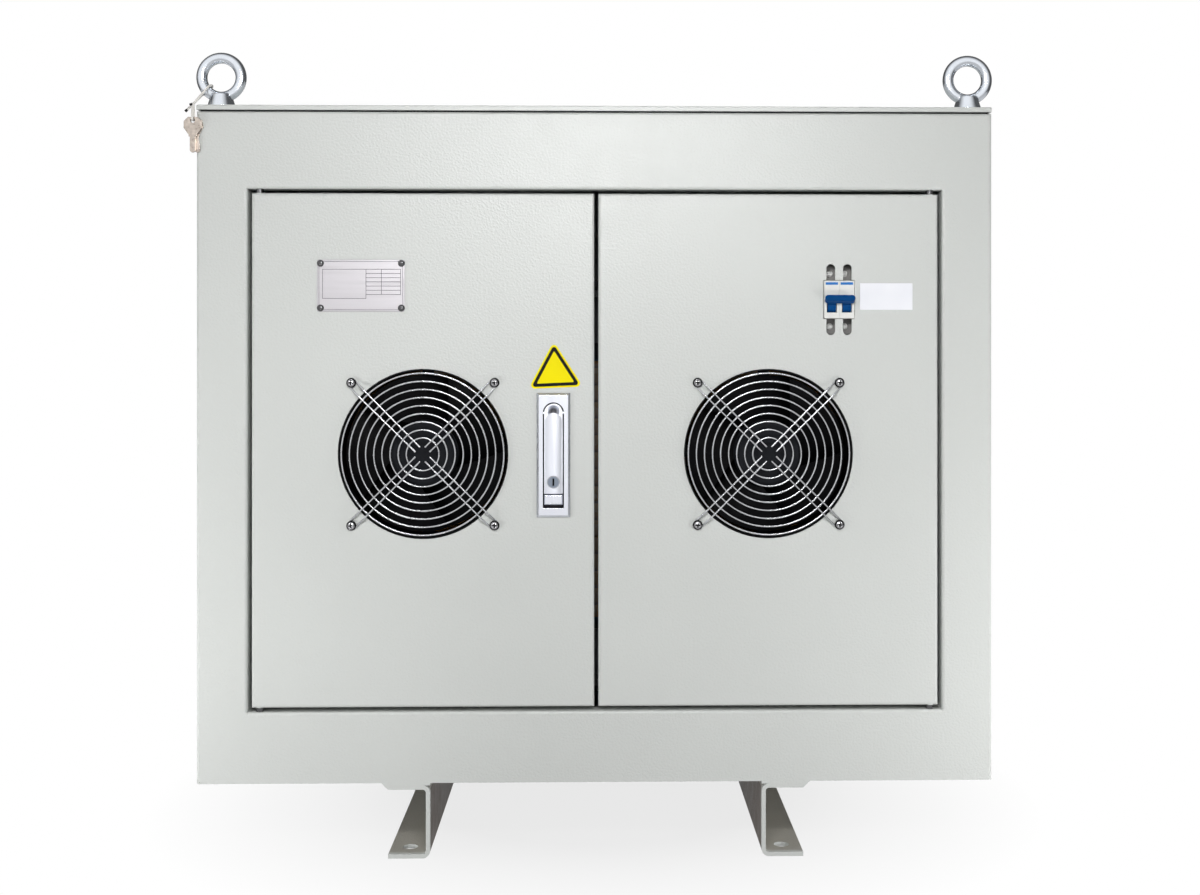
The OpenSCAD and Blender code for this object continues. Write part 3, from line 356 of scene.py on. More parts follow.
# Guard screw steel with painted shade: the dome's flanks below the crown turn nearly black, leaving a bright
# centre
SCREW_CROWN = DOOR_FACE - GUARD_WIRE - 0.88 * GUARD_SCREW_HEIGHT
SCREW_STEEL = painted_shade_behind(
    "screw_steel", metal, SCREW_CROWN, 1.2 * MM, (0.01, 0.01, 0.01), colour=(0.62, 0.62, 0.64), roughness=0.12
)
DARK_STEEL = metal("dark_polished_steel", (0.15, 0.15, 0.155), 0.12, spread=0.08)
SPECIAL_FINISHES = {
    "left_foot": FOOT_PAINT,
    "right_foot": FOOT_PAINT,
    # Painted shade: the lock dish's chrome turns dark inside its recess, behind the plate's face
    "lock_dish": painted_shade_behind(
        "lock_dish_chrome", metal, LOCK_FACE + 1.5 * MM, 3 * MM, (0.03, 0.03, 0.035), **CHROME
    ),
    # Painted shade: the handle turns dark where it sinks into the recess
    "lock_handle": painted_shade_behind(
        "lock_handle_chrome", metal, LOCK_FACE + 1.0 * MM, 2.5 * MM, (0.10, 0.10, 0.11), **SATIN_CHROME
    ),
    # Painted shade: the keyway behind the barrel's face is nearly black
    "key_barrel": painted_shade_behind(
        "key_barrel_steel", barrel_finish, BARREL_FACE + 0.3 * MM, 0.6 * MM, (0.01, 0.01, 0.01)
    ),
    "left_hinge_pins": DARK_STEEL,
    "right_hinge_pins": DARK_STEEL,
    "left_fan_rotor": rotor_finish("left"),
    "right_fan_rotor": rotor_finish("right"),
    # Painted shade: the white body's shoulders, 8 mm behind the nose and seen through the door's slots, are
    # painted in a shade grey
    "breaker_body": painted_shade_behind(
        "breaker_body_white", moulded, NOSE_FACE + 8 * MM, 6 * MM, (0.26, 0.255, 0.245),
        colour=(0.80, 0.80, 0.77), roughness=0.4,
    ),
}


def dress_frame():
    """Gives every solid of the frame its own finish or that of its material slot."""
    for part in frame["record"]["subparts"]:
        mesh = frame["nodes"][part["node"]].data
        mesh.materials.clear()
        mesh.materials.append(SPECIAL_FINISHES.get(part["node"]) or FINISHES[part["material_slot"]])


# Making pieces

def piece(name, mesh, body, slot, material=None):
    """Puts a finished mesh into the scene, on its body."""
    mesh.materials.clear()
    mesh.materials.append(material or FINISHES[slot])
    made = bpy.data.objects.new(name, mesh)
    bpy.context.scene.collection.objects.link(made)
    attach(made, body)
    return made


def smooth(mesh, angle=35.0):
    mesh.shade_smooth()
    mesh.set_sharp_from_angle(angle=math.radians(angle))


def points_mesh(name, points, joined=False):
    """Mesh of loose points, or of one path through them."""
    mesh = bpy.data.meshes.new(name)
    edges = [(i, i + 1) for i in range(len(points) - 1)] if joined else []
    mesh.from_pydata([tuple(point) for point in points], edges, [])
    return mesh


class Pattern:
    """A Geometry Nodes tree with named inputs, ending in Realize Instances and Set Material."""

    SOCKETS = {float: "NodeSocketFloat", int: "NodeSocketInt", tuple: "NodeSocketVector"}

    def __init__(self, name, **inputs):
        self.tree = bpy.data.node_groups.new(name, "GeometryNodeTree")
        face = self.tree.interface
        face.new_socket("Geometry", in_out="INPUT", socket_type="NodeSocketGeometry")
        face.new_socket("Geometry", in_out="OUTPUT", socket_type="NodeSocketGeometry")
        face.new_socket("Material", in_out="INPUT", socket_type="NodeSocketMaterial")
        for key, kind in inputs.items():
            face.new_socket(key, in_out="INPUT", socket_type=self.SOCKETS[kind])
        self.given = self.tree.nodes.new("NodeGroupInput").outputs

    def add(self, kind, _settings=None, **inputs):
        """Adds a node; each input is a value or another node's output. Underscores stand for spaces."""
        node = self.tree.nodes.new(kind)
        for key, value in (_settings or {}).items():
            setattr(node, key, value)
        for key, value in inputs.items():
            self.plug(node.inputs[key.replace("_", " ")], value)
        return node

    def plug(self, socket, value):
        if isinstance(value, bpy.types.NodeSocket):
            self.tree.links.new(value, socket)
        else:
            socket.default_value = value

    def math(self, operation, a, b):
        node = self.add("ShaderNodeMath", {"operation": operation})
        self.plug(node.inputs[0], a)
        self.plug(node.inputs[1], b)
        return node.outputs[0]

    def vector(self, x, y, z):
        return self.add("ShaderNodeCombineXYZ", X=x, Y=y, Z=z).outputs[0]

    def end(self, geometry, flat=False):
        real = self.add("GeometryNodeRealizeInstances", Geometry=geometry).outputs[0]
        if not flat:
            real = self.add("GeometryNodeSetShadeSmooth", Geometry=real).outputs[0]
        dressed = self.add("GeometryNodeSetMaterial", Geometry=real, Material=self.given["Material"])
        out = self.tree.nodes.new("NodeGroupOutput")
        self.tree.links.new(dressed.outputs[0], out.inputs[0])

    def mesh(self, name, base, material, **values):
        """Runs the tree on a base mesh and returns the plain mesh that comes out."""
        carrier = bpy.data.objects.new(name, base)
        bpy.context.scene.collection.objects.link(carrier)
        modifier = carrier.modifiers.new("pattern", "NODES")
        modifier.node_group = self.tree
        items = self.tree.interface.items_tree
        sockets = {item.name: item.identifier for item in items if item.in_out == "INPUT"}
        modifier[sockets["Material"]] = material
        for key, value in values.items():
            modifier[sockets[key]] = value
        evaluated = carrier.evaluated_get(bpy.context.evaluated_depsgraph_get())
        result = bpy.data.meshes.new_from_object(evaluated)
        carrier.modifiers.remove(modifier)
        bpy.data.objects.remove(carrier)
        result.name = name
        return result


WIRE_SIDES = 10
RING_STEPS = 96


def ring_pattern():
    """Concentric wire rings round the Y axis."""
    rings = Pattern("guard_rings", Place=tuple, First=float, Pitch=float, Count=int, Wire=float)
    line = rings.add("GeometryNodeMeshLine", Count=rings.given["Count"], Offset=(0, 0, 0)).outputs[0]
    index = rings.add("GeometryNodeInputIndex").outputs[0]
    radius = rings.math("ADD", rings.given["First"], rings.math("MULTIPLY", index, rings.given["Pitch"]))
    circle = rings.add("GeometryNodeCurvePrimitiveCircle", Resolution=RING_STEPS, Radius=1.0).outputs[0]
    scale = rings.vector(radius, radius, radius)
    placed = rings.add("GeometryNodeInstanceOnPoints", Points=line, Instance=circle, Scale=scale).outputs[0]
    curves = rings.add("GeometryNodeRealizeInstances", Geometry=placed).outputs[0]
    section = rings.add(
        "GeometryNodeCurvePrimitiveCircle", Resolution=WIRE_SIDES, Radius=rings.given["Wire"]
    ).outputs[0]
    wires = rings.add("GeometryNodeCurveToMesh", Curve=curves, Profile_Curve=section).outputs[0]
    stood = rings.add(
        "GeometryNodeTransform", Geometry=wires, Translation=rings.given["Place"],
        Rotation=(math.pi / 2, 0, 0),
    ).outputs[0]
    rings.end(stood)
    return rings


def wire_pattern():
    """Round wire along a path, with its corners bent to a radius."""
    wire = Pattern("bent_wire", Wire=float, Bend=float)
    path = wire.add("GeometryNodeMeshToCurve", Mesh=wire.given["Geometry"]).outputs[0]
    bent = wire.add(
        "GeometryNodeFilletCurve", {"mode": "POLY"},
        Curve=path, Count=8, Radius=wire.given["Bend"], Limit_Radius=True,
    ).outputs[0]
    section = wire.add(
        "GeometryNodeCurvePrimitiveCircle", Resolution=WIRE_SIDES, Radius=wire.given["Wire"]
    ).outputs[0]
    round_wire = wire.add("GeometryNodeCurveToMesh", Curve=bent, Profile_Curve=section, Fill_Caps=True)
    wire.end(round_wire.outputs[0])
    return wire


def screw_pattern():
    """Domed screw heads with a cross recess, one on each point, all facing one way."""
    heads = Pattern("screws", Facing=tuple, Radius=float, Height=float, Recess=float)
    radius, height, recess = (heads.given[key] for key in ("Radius", "Height", "Recess"))
    ball = heads.add("GeometryNodeMeshUVSphere", Segments=24, Rings=12, Radius=radius).outputs[0]
    flat = heads.math("DIVIDE", height, radius)
    dome = heads.add("GeometryNodeTransform", Geometry=ball, Scale=heads.vector(1.0, 1.0, flat)).outputs[0]
    reach = heads.math("MULTIPLY", radius, 3.0)
    below = heads.add("GeometryNodeMeshCube", Size=heads.vector(reach, reach, height)).outputs[0]
    sunk = heads.add(
        "GeometryNodeTransform", Geometry=below,
        Translation=heads.vector(0.0, 0.0, heads.math("MULTIPLY", height, -0.5)),
    ).outputs[0]
    cutters = [sunk]
    for size_x, size_y in ((radius, recess), (recess, radius)):
        bar = heads.add("GeometryNodeMeshCube", Size=heads.vector(size_x, size_y, height)).outputs[0]
        cutters.append(heads.add(
            "GeometryNodeTransform", Geometry=bar, Translation=heads.vector(0.0, 0.0, height)
        ).outputs[0])
    cut = heads.add("GeometryNodeMeshBoolean", {"operation": "DIFFERENCE", "solver": "EXACT"})
    heads.tree.links.new(dome, cut.inputs[0])
    for cutter in reversed(cutters):
        heads.tree.links.new(cutter, cut.inputs[1])
    placed = heads.add(
        "GeometryNodeInstanceOnPoints", Points=heads.given["Geometry"], Instance=cut.outputs[0],
        Rotation=heads.given["Facing"],
    ).outputs[0]
    heads.end(placed, flat=True)
    return heads


def bolt_pattern():
    """Hexagon heads on round washers, one on each point, all facing one way."""
    heads = Pattern("hexagon_bolts", Facing=tuple, Across=float, Height=float)
    across, height = heads.given["Across"], heads.given["Height"]
    washer = (24, heads.math("MULTIPLY", across, 0.62), heads.math("MULTIPLY", height, 0.25))
    hexagon = (6, heads.math("DIVIDE", across, math.sqrt(3)), height)
    both = heads.add("GeometryNodeJoinGeometry")
    for sides, radius, depth in (washer, hexagon):
        drum = heads.add("GeometryNodeMeshCylinder", Vertices=sides, Radius=radius, Depth=depth)
        raised = heads.vector(0.0, 0.0, heads.math("MULTIPLY", depth, 0.5))
        stood = heads.add("GeometryNodeTransform", Geometry=drum.outputs["Mesh"], Translation=raised)
        heads.tree.links.new(stood.outputs[0], both.inputs[0])
    placed = heads.add(
        "GeometryNodeInstanceOnPoints", Points=heads.given["Geometry"], Instance=both.outputs[0],
        Rotation=heads.given["Facing"],
    ).outputs[0]
    heads.end(placed, flat=True)
    return heads


RINGS = ring_pattern()
WIRE = wire_pattern()
SCREWS = screw_pattern()
BOLTS = bolt_pattern()
FACING_FRONT = (math.pi / 2, 0.0, 0.0)
FACING_BACK = (-math.pi / 2, 0.0, 0.0)


def screws(name, points, body, slot, diameter, height, facing=FACING_FRONT, material=None):
    """One piece of screw heads, one on each point."""
    finish = material or FINISHES[slot]
    mesh = SCREWS.mesh(
        name, points_mesh(name, points), finish,
        Facing=facing, Radius=diameter / 2, Height=height, Recess=diameter * 0.14,
    )
    smooth(mesh, 40.0)
    return piece(name, mesh, body, slot, finish)


def bolts(name, points, body, slot, across, height, facing=FACING_FRONT):
    """One piece of bolt heads, one on each point."""
    mesh = BOLTS.mesh(
        name, points_mesh(name, points), FINISHES[slot], Facing=facing, Across=across, Height=height
    )
    smooth(mesh, 30.0)
    return piece(name, mesh, body, slot)


# Fan guards

def guard(side):
    """Round wires of one guard, with four screws."""
    node = f"{side}_fan_guard"
    centre = middle(node)
    radius = GUARD_WIRE / 2
    ring_y = DOOR_FACE - GUARD_RING_LIFT
    rings = RINGS.mesh(
        f"{side}_guard_rings", points_mesh("start", [(0, 0, 0)]), FINISHES["zinc_plate"],
        Place=(centre.x, ring_y, centre.z), Wire=radius, **GUARD_RINGS,
    )
    made = [piece(f"{side}_guard_rings", rings, f"{side}_door", "zinc_plate")]
    eye = FAN_SCREW_PITCH / math.sqrt(2)
    arm_y = ring_y - GUARD_WIRE * 0.9
    near, half = GUARD_ARM_GAPS[0] / 2, GUARD_ARM_GAPS[1] / 2
    start, bend, foot = 8 * MM, 103 * MM, eye - 2 * MM
    low = DOOR_FACE - radius
    for turn in (45, 135, 225, 315):
        out = Vector((math.cos(math.radians(turn)), 0.0, math.sin(math.radians(turn))))
        across = Vector((-out.z, 0.0, out.x))

        def spot(reach, y, offset):
            place = centre + out * reach + across * offset
            return (place.x, y, place.z)

        path = [
            spot(start, arm_y, -near), spot(bend, arm_y, -half), spot(foot, low, -half),
            spot(eye + half, low, -half), spot(eye + half, low, half),
            spot(foot, low, half), spot(bend, arm_y, half), spot(start, arm_y, near),
        ]
        mesh = WIRE.mesh(
            "arm", points_mesh("arm_path", path, True), FINISHES["zinc_plate"], Wire=radius, Bend=4 * MM
        )
        made.append(piece(f"{side}_guard_arm_{turn}", mesh, f"{side}_door", "zinc_plate"))
    for wires in made:
        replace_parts(wires, node)
    corners = [
        centre + Vector((sx * FAN_SCREW_PITCH / 2, 0, sz * FAN_SCREW_PITCH / 2))
        for sx in (-1, 1) for sz in (-1, 1)
    ]
    heads = [(point.x, DOOR_FACE - GUARD_WIRE, point.z) for point in corners]
    screws(
        f"{side}_guard_screws", heads, f"{side}_door", "zinc_plate", 12 * MM, GUARD_SCREW_HEIGHT,
        material=SCREW_STEEL,
    )


# Plates on the doors

def outline_plate(name, outline, y_front, thickness, bevel=0.0):
    """Flat plate facing the front: an outline in X and Z, pushed back by its thickness."""
    shape = bmesh.new()
    face = shape.faces.new([shape.verts.new((x, y_front, z)) for x, z in outline])
    pushed = bmesh.ops.extrude_face_region(shape, geom=[face])["geom"]
    moved = [item for item in pushed if isinstance(item, bmesh.types.BMVert)]
    bmesh.ops.translate(shape, vec=(0.0, thickness, 0.0), verts=moved)
    if bevel:
        rim = [edge for edge in shape.edges if all(abs(v.co.y - y_front) < 1e-9 for v in edge.verts)]
        bmesh.ops.bevel(shape, geom=rim, offset=bevel, segments=2, affect="EDGES")
    bmesh.ops.recalc_face_normals(shape, faces=shape.faces)
    mesh = bpy.data.meshes.new(name)
    shape.to_mesh(mesh)
    shape.free()
    smooth(mesh)
    return mesh


def round_corners(corners, radius, steps=6):
    """Outline through the corners, each rounded to a radius with an arc."""
    outline = []
    count = len(corners)
    for i, corner in enumerate(corners):
        here = Vector(corner)
        to_last = (Vector(corners[i - 1]) - here).normalized()
        to_next = (Vector(corners[(i + 1) % count]) - here).normalized()
        half = to_last.angle(to_next) / 2
        centre = here + (to_last + to_next).normalized() * radius / math.sin(half)
        start = here + to_last * radius / math.tan(half) - centre
        end = here + to_next * radius / math.tan(half) - centre
        turn = start.angle_signed(end)
        for step in range(steps + 1):
            spoke = start.copy()
            spoke.rotate(Matrix.Rotation(-turn * step / steps, 2))
            outline.append(tuple(centre + spoke))
    return outline


def rectangle(centre_x, centre_z, width, height, radius):
    left, right = centre_x - width / 2, centre_x + width / 2
    low, high = centre_z - height / 2, centre_z + height / 2
    return round_corners([(left, low), (right, low), (right, high), (left, high)], radius)


def brushed_plate(name):
    """Brushed aluminium plate, streaked along X."""
    return metal(name, (0.48, 0.465, 0.485), 0.42, 200.0, (0.05, 1.0, 1.0), 0.06)


def nameplate():
    """Bare plate with a ruled table and four screws."""
    centre_x, centre_z = -0.280, 0.6826
    width, height, thickness = 0.104, 0.062, 0.001
    face = DOOR_FACE - thickness
    aluminium = brushed_plate("nameplate_aluminium")
    outline = rectangle(centre_x, centre_z, width, height, radius=0.0015)
    mesh = outline_plate("nameplate", outline, face, thickness, bevel=0.0003)
    piece("nameplate", mesh, "left_door", "zinc_plate", aluminium)

    # Ruled lines: a border, a wide box, and beside it two columns crossed by seven rules
    ink = moulded("nameplate_ink", (0.07, 0.07, 0.08), 0.5)
    line, lift = 0.0005, 0.00012
    border_x, border_z = 0.0497, 0.0287
    left, split, cells, right = -0.0455, 0.006, 0.0243, 0.0471
    top, foot, low = 0.0195, -0.0105, -0.0153
    spans = [((-border_x, z), (border_x, z)) for z in (-border_z, border_z)]
    spans += [((x, -border_z), (x, border_z)) for x in (-border_x, border_x)]
    spans += [((left, z), (split, z)) for z in (low, top)]
    spans += [((x, low), (x, top)) for x in (left, split)]
    spans += [((x, foot), (x, top)) for x in (cells, right)]
    rows = [top + (foot - top) * row / 6 for row in range(7)]
    spans += [((split, z), (right, z)) for z in rows]
    rules = bmesh.new()
    for (x0, z0), (x1, z1) in spans:
        place = Matrix.Translation((centre_x + (x0 + x1) / 2, face, centre_z + (z0 + z1) / 2))
        place = place @ Matrix.Diagonal((x1 - x0 + line, 2 * lift, z1 - z0 + line, 1.0))
        bmesh.ops.create_cube(rules, size=1.0, matrix=place)
    mesh = bpy.data.meshes.new("nameplate_rules")
    rules.to_mesh(mesh)
    rules.free()
    piece("nameplate_rules", mesh, "left_door", "black_rubber", ink)

    screw_x, screw_z = 0.048, 0.0266
    heads = [
        (centre_x + sx * screw_x, face, centre_z + sz * screw_z) for sx in (-1, 1) for sz in (-1, 1)
    ]
    screws("nameplate_screws", heads, "left_door", "zinc_plate", 8.5 * MM, 2.4 * MM, material=DARK_STEEL)


def triangle(centre_x, base_z, base, height, tilt):
    """Corners of a triangle that is turned about the middle of its base, counter-clockwise."""
    turn = Matrix.Rotation(math.radians(tilt), 2)
    corners = [Vector((-base / 2, 0.0)), Vector((base / 2, 0.0)), Vector((0.0, height))]
    return [tuple(Vector((centre_x, base_z)) + turn @ corner) for corner in corners]


def shrunk(corners, inset):
    """Triangle whose sides lie inside the given one by the inset."""
    points = [Vector(corner) for corner in corners]
    sides = [(points[i] - points[i - 1]).length for i in range(3)]
    opposite = [sides[2], sides[0], sides[1]]
    middle_point = sum((point * side for point, side in zip(points, opposite)), Vector((0, 0))) / sum(sides)
    area = abs((points[1] - points[0]).cross(points[2] - points[0])) / 2
    inner_radius = 2 * area / sum(sides)
    factor = 1 - inset / inner_radius
    return [tuple(middle_point + (point - middle_point) * factor) for point in points]


def plain_triangle():
    """Plain yellow triangle with a dark border line, stuck above the lock."""
    corners = triangle(centre_x=-0.0484, base_z=0.561, base=0.0652, height=0.0555, tilt=2.5)
    film = 0.0003
    yellow = moulded("sign_yellow", (0.94, 0.80, 0.0), 0.45, gloss=0.1)
    dark = moulded("sign_border", (0.008, 0.008, 0.008), 0.45, gloss=0.1)

    # Each layer's name, inset, corner radius and finish
    layers = (
        ("sign_base", 0.0, 0.0045, yellow),
        ("sign_border", 0.0020, 0.003, dark),
        ("sign_field", 0.0058, 0.001, yellow),
    )
    for step, (name, inset, radius, finish) in enumerate(layers):
        outline = round_corners(shrunk(corners, inset) if inset else corners, radius)
        front = DOOR_FACE - film * (step + 1)
        mesh = outline_plate(name, outline, front, film * (step + 1))
        piece(name, mesh, "left_door", "black_rubber", finish)


def breaker_label():
    """Bare white plate beside the breaker."""
    white = moulded("label_white", (0.90, 0.91, 0.97), 0.4)
    thickness = 0.0012
    outline = rectangle(centre_x=0.3476, centre_z=0.6702, width=0.063, height=0.032, radius=0.0005)
    mesh = outline_plate("breaker_label", outline, DOOR_FACE - thickness, thickness, bevel=0.0003)
    piece("breaker_label", mesh, "right_door", "breaker_white", white)


# Breaker

def breaker_trim():
    """Stripes on the nose and screws in the terminals."""
    centre = middle("breaker_body")
    pole = 18 * MM
    stripe_w, stripe_h, stripe_up, film = 15 * MM, 3 * MM, 19.2 * MM, 0.15 * MM
    stripe_blue = moulded("stripe_blue", (0.003, 0.17, 0.56), 0.35)
    for name, sx in SIDES.items():
        outline = rectangle(centre.x + sx * pole / 2, centre.z + stripe_up, stripe_w, stripe_h, 0.2 * MM)
        mesh = outline_plate(f"{name}_stripe", outline, NOSE_FACE - film, film)
        piece(f"{name}_stripe", mesh, "right_door", "toggle_blue", stripe_blue)
    head_y, head_up = NOSE_FACE + 19.4 * MM, 31.75 * MM
    heads = [
        (centre.x + sx * pole / 2, head_y, centre.z + sz * head_up) for sx in (-1, 1) for sz in (-1, 1)
    ]
    pale_steel = moulded("terminal_steel", (0.86, 0.86, 0.85), 0.4)
    screws("terminal_screws", heads, "right_door", "zinc_plate", 7.8 * MM, 1.4 * MM, material=pale_steel)


# Core and back

def core_bolts():
    """Through bolts of the core clamps, heads in front and nuts behind."""
    core_low, core_high = box_of("core")
    plate = 8 * MM
    columns = (-0.27, -0.115, 0.115, 0.27)
    for clamps in ("upper_clamps", "lower_clamps"):
        level = middle(clamps).z
        front = [(x, core_low.y - plate, level) for x in columns]
        back = [(x, core_high.y + plate, level) for x in columns]
        bolts(f"{clamps}_heads", front, "cabinet", "zinc_plate", 19 * MM, 8 * MM)
        bolts(f"{clamps}_nuts", back, "cabinet", "zinc_plate", 19 * MM, 10 * MM, FACING_BACK)


def back_screws():
    """Screws round the edge of the back wall."""
    low, high = box_of("back_wall")
    edge = 22 * MM
    columns = [low.x + edge, 0.0, high.x - edge]
    rows = [low.z + edge, (low.z + high.z) / 2, high.z - edge]
    points = [(x, high.y, z) for x in columns for z in rows if (x, z) != (columns[1], rows[1])]
    screws("back_wall_screws", points, "cabinet", "zinc_plate", 11 * MM, 3 * MM, FACING_BACK)


# Key loop

def key_loop():
    """Pale covered wire round the eyebolt's ring, over the cover's corner and down through the keys."""
    low, high = box_of("eyebolt_front_left")
    cover_low, cover_high = box_of("top_cover")
    wire, ring_radius, ring_wire, play = 2.8 * MM, 23.5 * MM, 6.5 * MM, 0.7 * MM
    centre = Vector(((low.x + high.x) / 2, (low.y + high.y) / 2, high.z - ring_radius - ring_wire))
    turn = math.radians(40)
    inward = Vector((math.cos(turn), 0.0, math.sin(turn)))
    hold = centre - inward * ring_radius
    around = ring_wire + wire / 2 + play
    corner = Vector((cover_low.x - wire, cover_low.y - wire, cover_high.z))

    # Angles at which the straight strands leave the bend round the ring
    away = corner - hold
    flat = away.dot(inward)
    aim = math.atan2(away.y, flat)
    half = math.acos(around / math.hypot(flat, away.y))
    first, last, steps = aim + half, aim - half + 2 * math.pi, 18
    bend = []
    for step in range(steps + 1):
        angle = first + (last - first) * step / steps
        bend.append(hold + (inward * math.cos(angle) + Vector((0.0, math.sin(angle), 0.0))) * around)
    strand = [corner, *bend, corner]

    hole_x, hole_z = cover_low.x - 2.5 * MM, 878.5 * MM
    front_y, rear_y, top_z = -309.2 * MM, -301.2 * MM, 888 * MM
    drop = [
        corner, (hole_x, front_y, top_z), (hole_x, front_y, hole_z),
        (hole_x, rear_y, hole_z), (hole_x, rear_y, top_z), corner,
    ]
    cover = FINISHES["loop_cover"]
    for name, path in (("key_loop_upper", strand), ("key_loop_lower", drop)):
        mesh = WIRE.mesh(name, points_mesh(name, path, True), cover, Wire=wire / 2, Bend=1.6 * MM)
        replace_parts(piece(name, mesh, "cabinet", "loop_cover"), "key_loop")

    # Two free ends with dark tips
    rubber = FINISHES["black_rubber"]
    tip_length, tip_radius = 3 * MM, 1.7 * MM
    tips = ((-3.6 * MM, -2 * MM, -1.5 * MM), (-8.6 * MM, -3 * MM, -9.5 * MM))
    for number, tip in enumerate(tips):
        end = corner + Vector(tip)
        start = end - (end - corner).normalized() * tip_length
        tip_path = points_mesh("tip_path", [start, end], True)
        sleeve = WIRE.mesh("tip", tip_path, rubber, Wire=tip_radius, Bend=0.0)
        piece(f"key_loop_tip_{number}", sleeve, "cabinet", "black_rubber")
        end_path = points_mesh("end_path", [corner, start], True)
        stem = WIRE.mesh("end", end_path, cover, Wire=wire / 2, Bend=0.0)
        piece(f"key_loop_end_{number}", stem, "cabinet", "loop_cover")


# Stage

# Direction in which the room is pale, and the strength of its own light
PALE_SIDE = (-0.25, -0.93, 0.27)
AMBIENT = 0.05

# Soft lamps: place, aim, width, height and power. Gloss shows only the sheen panel.
LAMPS = {
    "front_panel": ((0.0, -3.0, 0.7), (0.0, -0.3, 0.6), 3.2, 1.7, 15.0),
    "sheen_panel": ((0.0, -1.5, 1.08), (0.0, -0.3, 0.86), 0.5, 0.2, 9.5),
    "low_left_panel": ((-0.95, -0.8, 0.2), (-0.5, -0.3, 0.15), 0.25, 0.2, 3.7),
    "low_right_panel": ((0.95, -0.8, 0.2), (0.5, -0.3, 0.15), 0.25, 0.2, 3.6),
    "top_panel": ((0.0, 0.0, 2.4), (0.0, 0.0, 0.9), 1.6, 1.2, 18.0),
    "left_side_panel": ((-2.4, 0.5, 0.9), (-0.475, 0.0, 0.5), 1.4, 1.2, 20.0),
    "right_side_panel": ((2.4, 0.5, 0.9), (0.475, 0.0, 0.5), 1.4, 1.2, 20.0),
    "back_panel": ((0.0, 2.6, 0.9), (0.0, 0.3, 0.5), 1.8, 1.2, 26.0),
}


def shown_rays(nodes, links, gloss=1.0):
    """Two factors for what a ray shows.

    The first is 1 for rays from the camera or through glass, and the gloss for rays from metal.
    The second is 1 for the camera's own rays only.
    """
    rays = nodes.new("ShaderNodeLightPath")
    total = rays.outputs["Is Camera Ray"]
    for kind, part in (("Is Glossy Ray", gloss), ("Is Transmission Ray", 1.0)):
        scaled = nodes.new("ShaderNodeMath")
        scaled.operation = "MULTIPLY"
        scaled.inputs[1].default_value = part
        links.new(rays.outputs[kind], scaled.inputs[0])
        either = nodes.new("ShaderNodeMath")
        either.operation = "MAXIMUM"
        links.new(total, either.inputs[0])
        links.new(scaled.outputs[0], either.inputs[1])
        total = either.outputs[0]
    return total, rays.outputs["Is Camera Ray"]


def pale_floor():
    """Pale floor with the object's shadow, which fades to white further away."""
    reach = 3.5
    mesh = bpy.data.meshes.new("floor")
    mesh.from_pydata(
        [(-reach, -reach, 0), (reach, -reach, 0), (reach, reach, 0), (-reach, reach, 0)], [], [(0, 1, 2, 3)]
    )
    floor = bpy.data.objects.new("floor", mesh)
    bpy.context.scene.collection.objects.link(floor)
    pale = Finish("floor_white", (0.30, 0.30, 0.30), 0.9)
    distance = pale.add("ShaderNodeVectorMath", operation="LENGTH")
    pale.link(pale.coords, distance.inputs[0])
    fade = pale.span(distance.outputs["Value"], 0.8, 1.0, start=0.25, end=0.6)
    shown, _ = shown_rays(pale.tree.nodes, pale.tree.links, gloss=0.5)
    part = pale.add("ShaderNodeMath", operation="MULTIPLY")
    pale.link(fade, part.inputs[0])
    pale.link(shown, part.inputs[1])
    white = pale.add("ShaderNodeEmission")
    blend = pale.add("ShaderNodeMixShader")
    pale.link(part.outputs[0], blend.inputs["Fac"])
    pale.link(pale.shader.outputs[0], blend.inputs[1])
    pale.link(white.outputs[0], blend.inputs[2])
    pale.link(blend.outputs[0], pale.tree.nodes["Material Output"].inputs["Surface"])
    mesh.materials.append(pale.material)


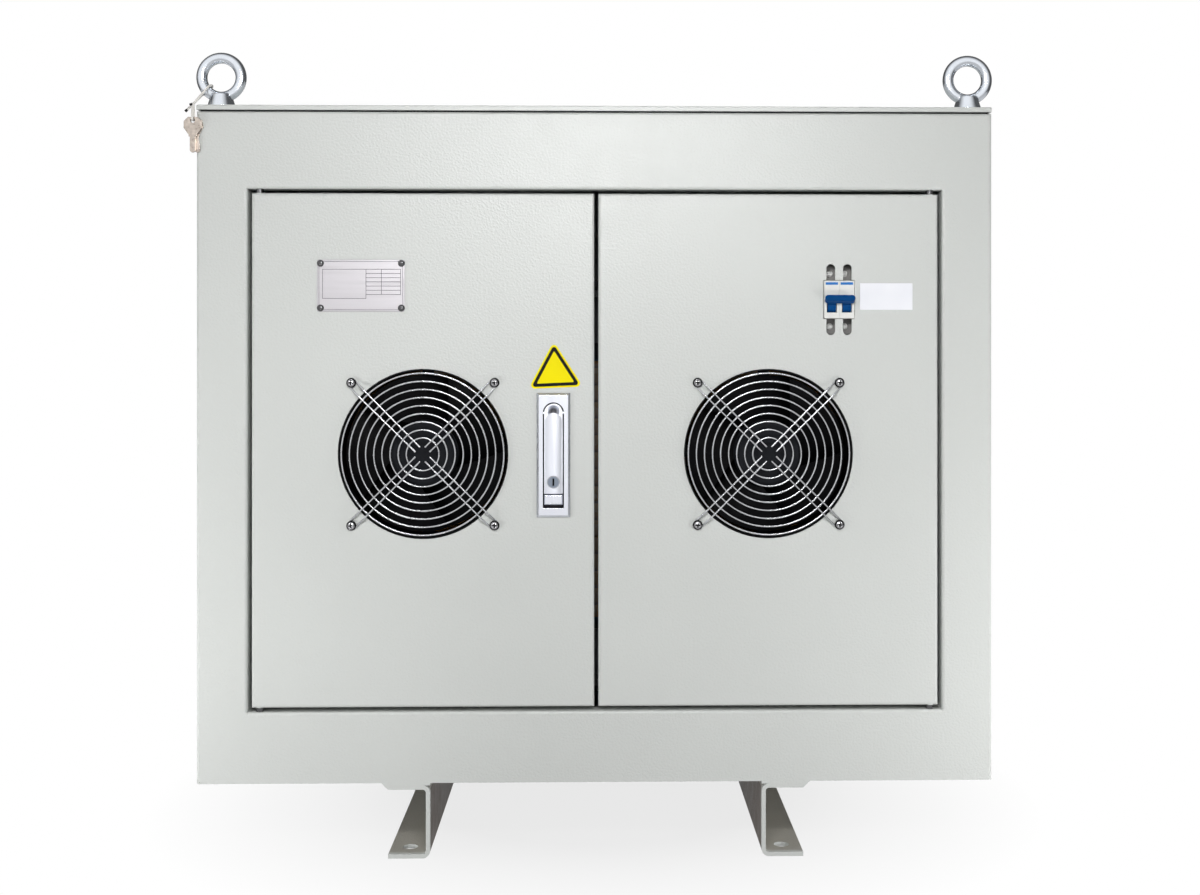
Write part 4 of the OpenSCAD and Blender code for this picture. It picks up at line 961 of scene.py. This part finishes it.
def white_world():
    """White background behind the object, in a dimmer room."""
    world = bpy.data.worlds.new("studio")
    bpy.context.scene.world = world
    world.use_nodes = True
    nodes, links = world.node_tree.nodes, world.node_tree.links
    ambient = nodes["Background"]
    ambient.inputs["Color"].default_value = (1.0, 1.0, 1.0, 1.0)
    ambient.inputs["Strength"].default_value = AMBIENT
    seen = nodes.new("ShaderNodeBackground")
    seen.inputs["Color"].default_value = (1.0, 1.0, 1.0, 1.0)
    shown, from_camera = shown_rays(nodes, links)

    # The room that metal shows is pale in front of the doors and dark elsewhere
    facing = nodes.new("ShaderNodeVectorMath")
    facing.operation = "DOT_PRODUCT"
    facing.inputs[1].default_value = PALE_SIDE
    links.new(nodes.new("ShaderNodeTexCoord").outputs["Generated"], facing.inputs[0])
    room = ramp(world.node_tree, facing.outputs["Value"], start=0.2, end=0.8, low=0.1, high=1.0)
    level = nodes.new("ShaderNodeMath")
    level.operation = "MAXIMUM"
    links.new(room.outputs["Result"], level.inputs[0])
    links.new(from_camera, level.inputs[1])
    links.new(level.outputs[0], seen.inputs["Strength"])

    pick = nodes.new("ShaderNodeMixShader")
    links.new(shown, pick.inputs["Fac"])
    links.new(ambient.outputs[0], pick.inputs[1])
    links.new(seen.outputs[0], pick.inputs[2])
    links.new(pick.outputs[0], nodes["World Output"].inputs["Surface"])


def soft_lamps():
    """Area lamps round the object, which the camera doesn't see."""
    for name, (place, aim, width, height, power) in LAMPS.items():
        lamp = bpy.data.lights.new(name, "AREA")
        lamp.shape = "RECTANGLE"
        lamp.size = width
        lamp.size_y = height
        lamp.energy = power
        holder = bpy.data.objects.new(name, lamp)
        holder.location = place
        holder.rotation_euler = (Vector(aim) - Vector(place)).to_track_quat("-Z", "Y").to_euler()
        holder.visible_camera = False
        holder.visible_glossy = name == "sheen_panel"
        bpy.context.scene.collection.objects.link(holder)


def front_camera():
    """Camera in front of the doors, shifted and turned a little."""
    camera = bpy.data.cameras.new("camera")
    camera.sensor_width = 36.0
    camera.lens = 46.3
    camera.shift_x = -0.0247
    camera.shift_y = -0.0718
    holder = bpy.data.objects.new("camera", camera)
    holder.location = (0.0013, -2.144, 0.5925)
    holder.rotation_euler = (math.pi / 2, 0.0, math.radians(-1.2))
    bpy.context.scene.collection.objects.link(holder)
    bpy.context.scene.camera = holder


bpy.context.scene.view_settings.view_transform = "Standard"
pale_floor()
white_world()
soft_lamps()
front_camera()
dress_frame()
for door_side in SIDES:
    guard(door_side)
nameplate()
plain_triangle()
breaker_label()
breaker_trim()
core_bolts()
back_screws()
key_loop()
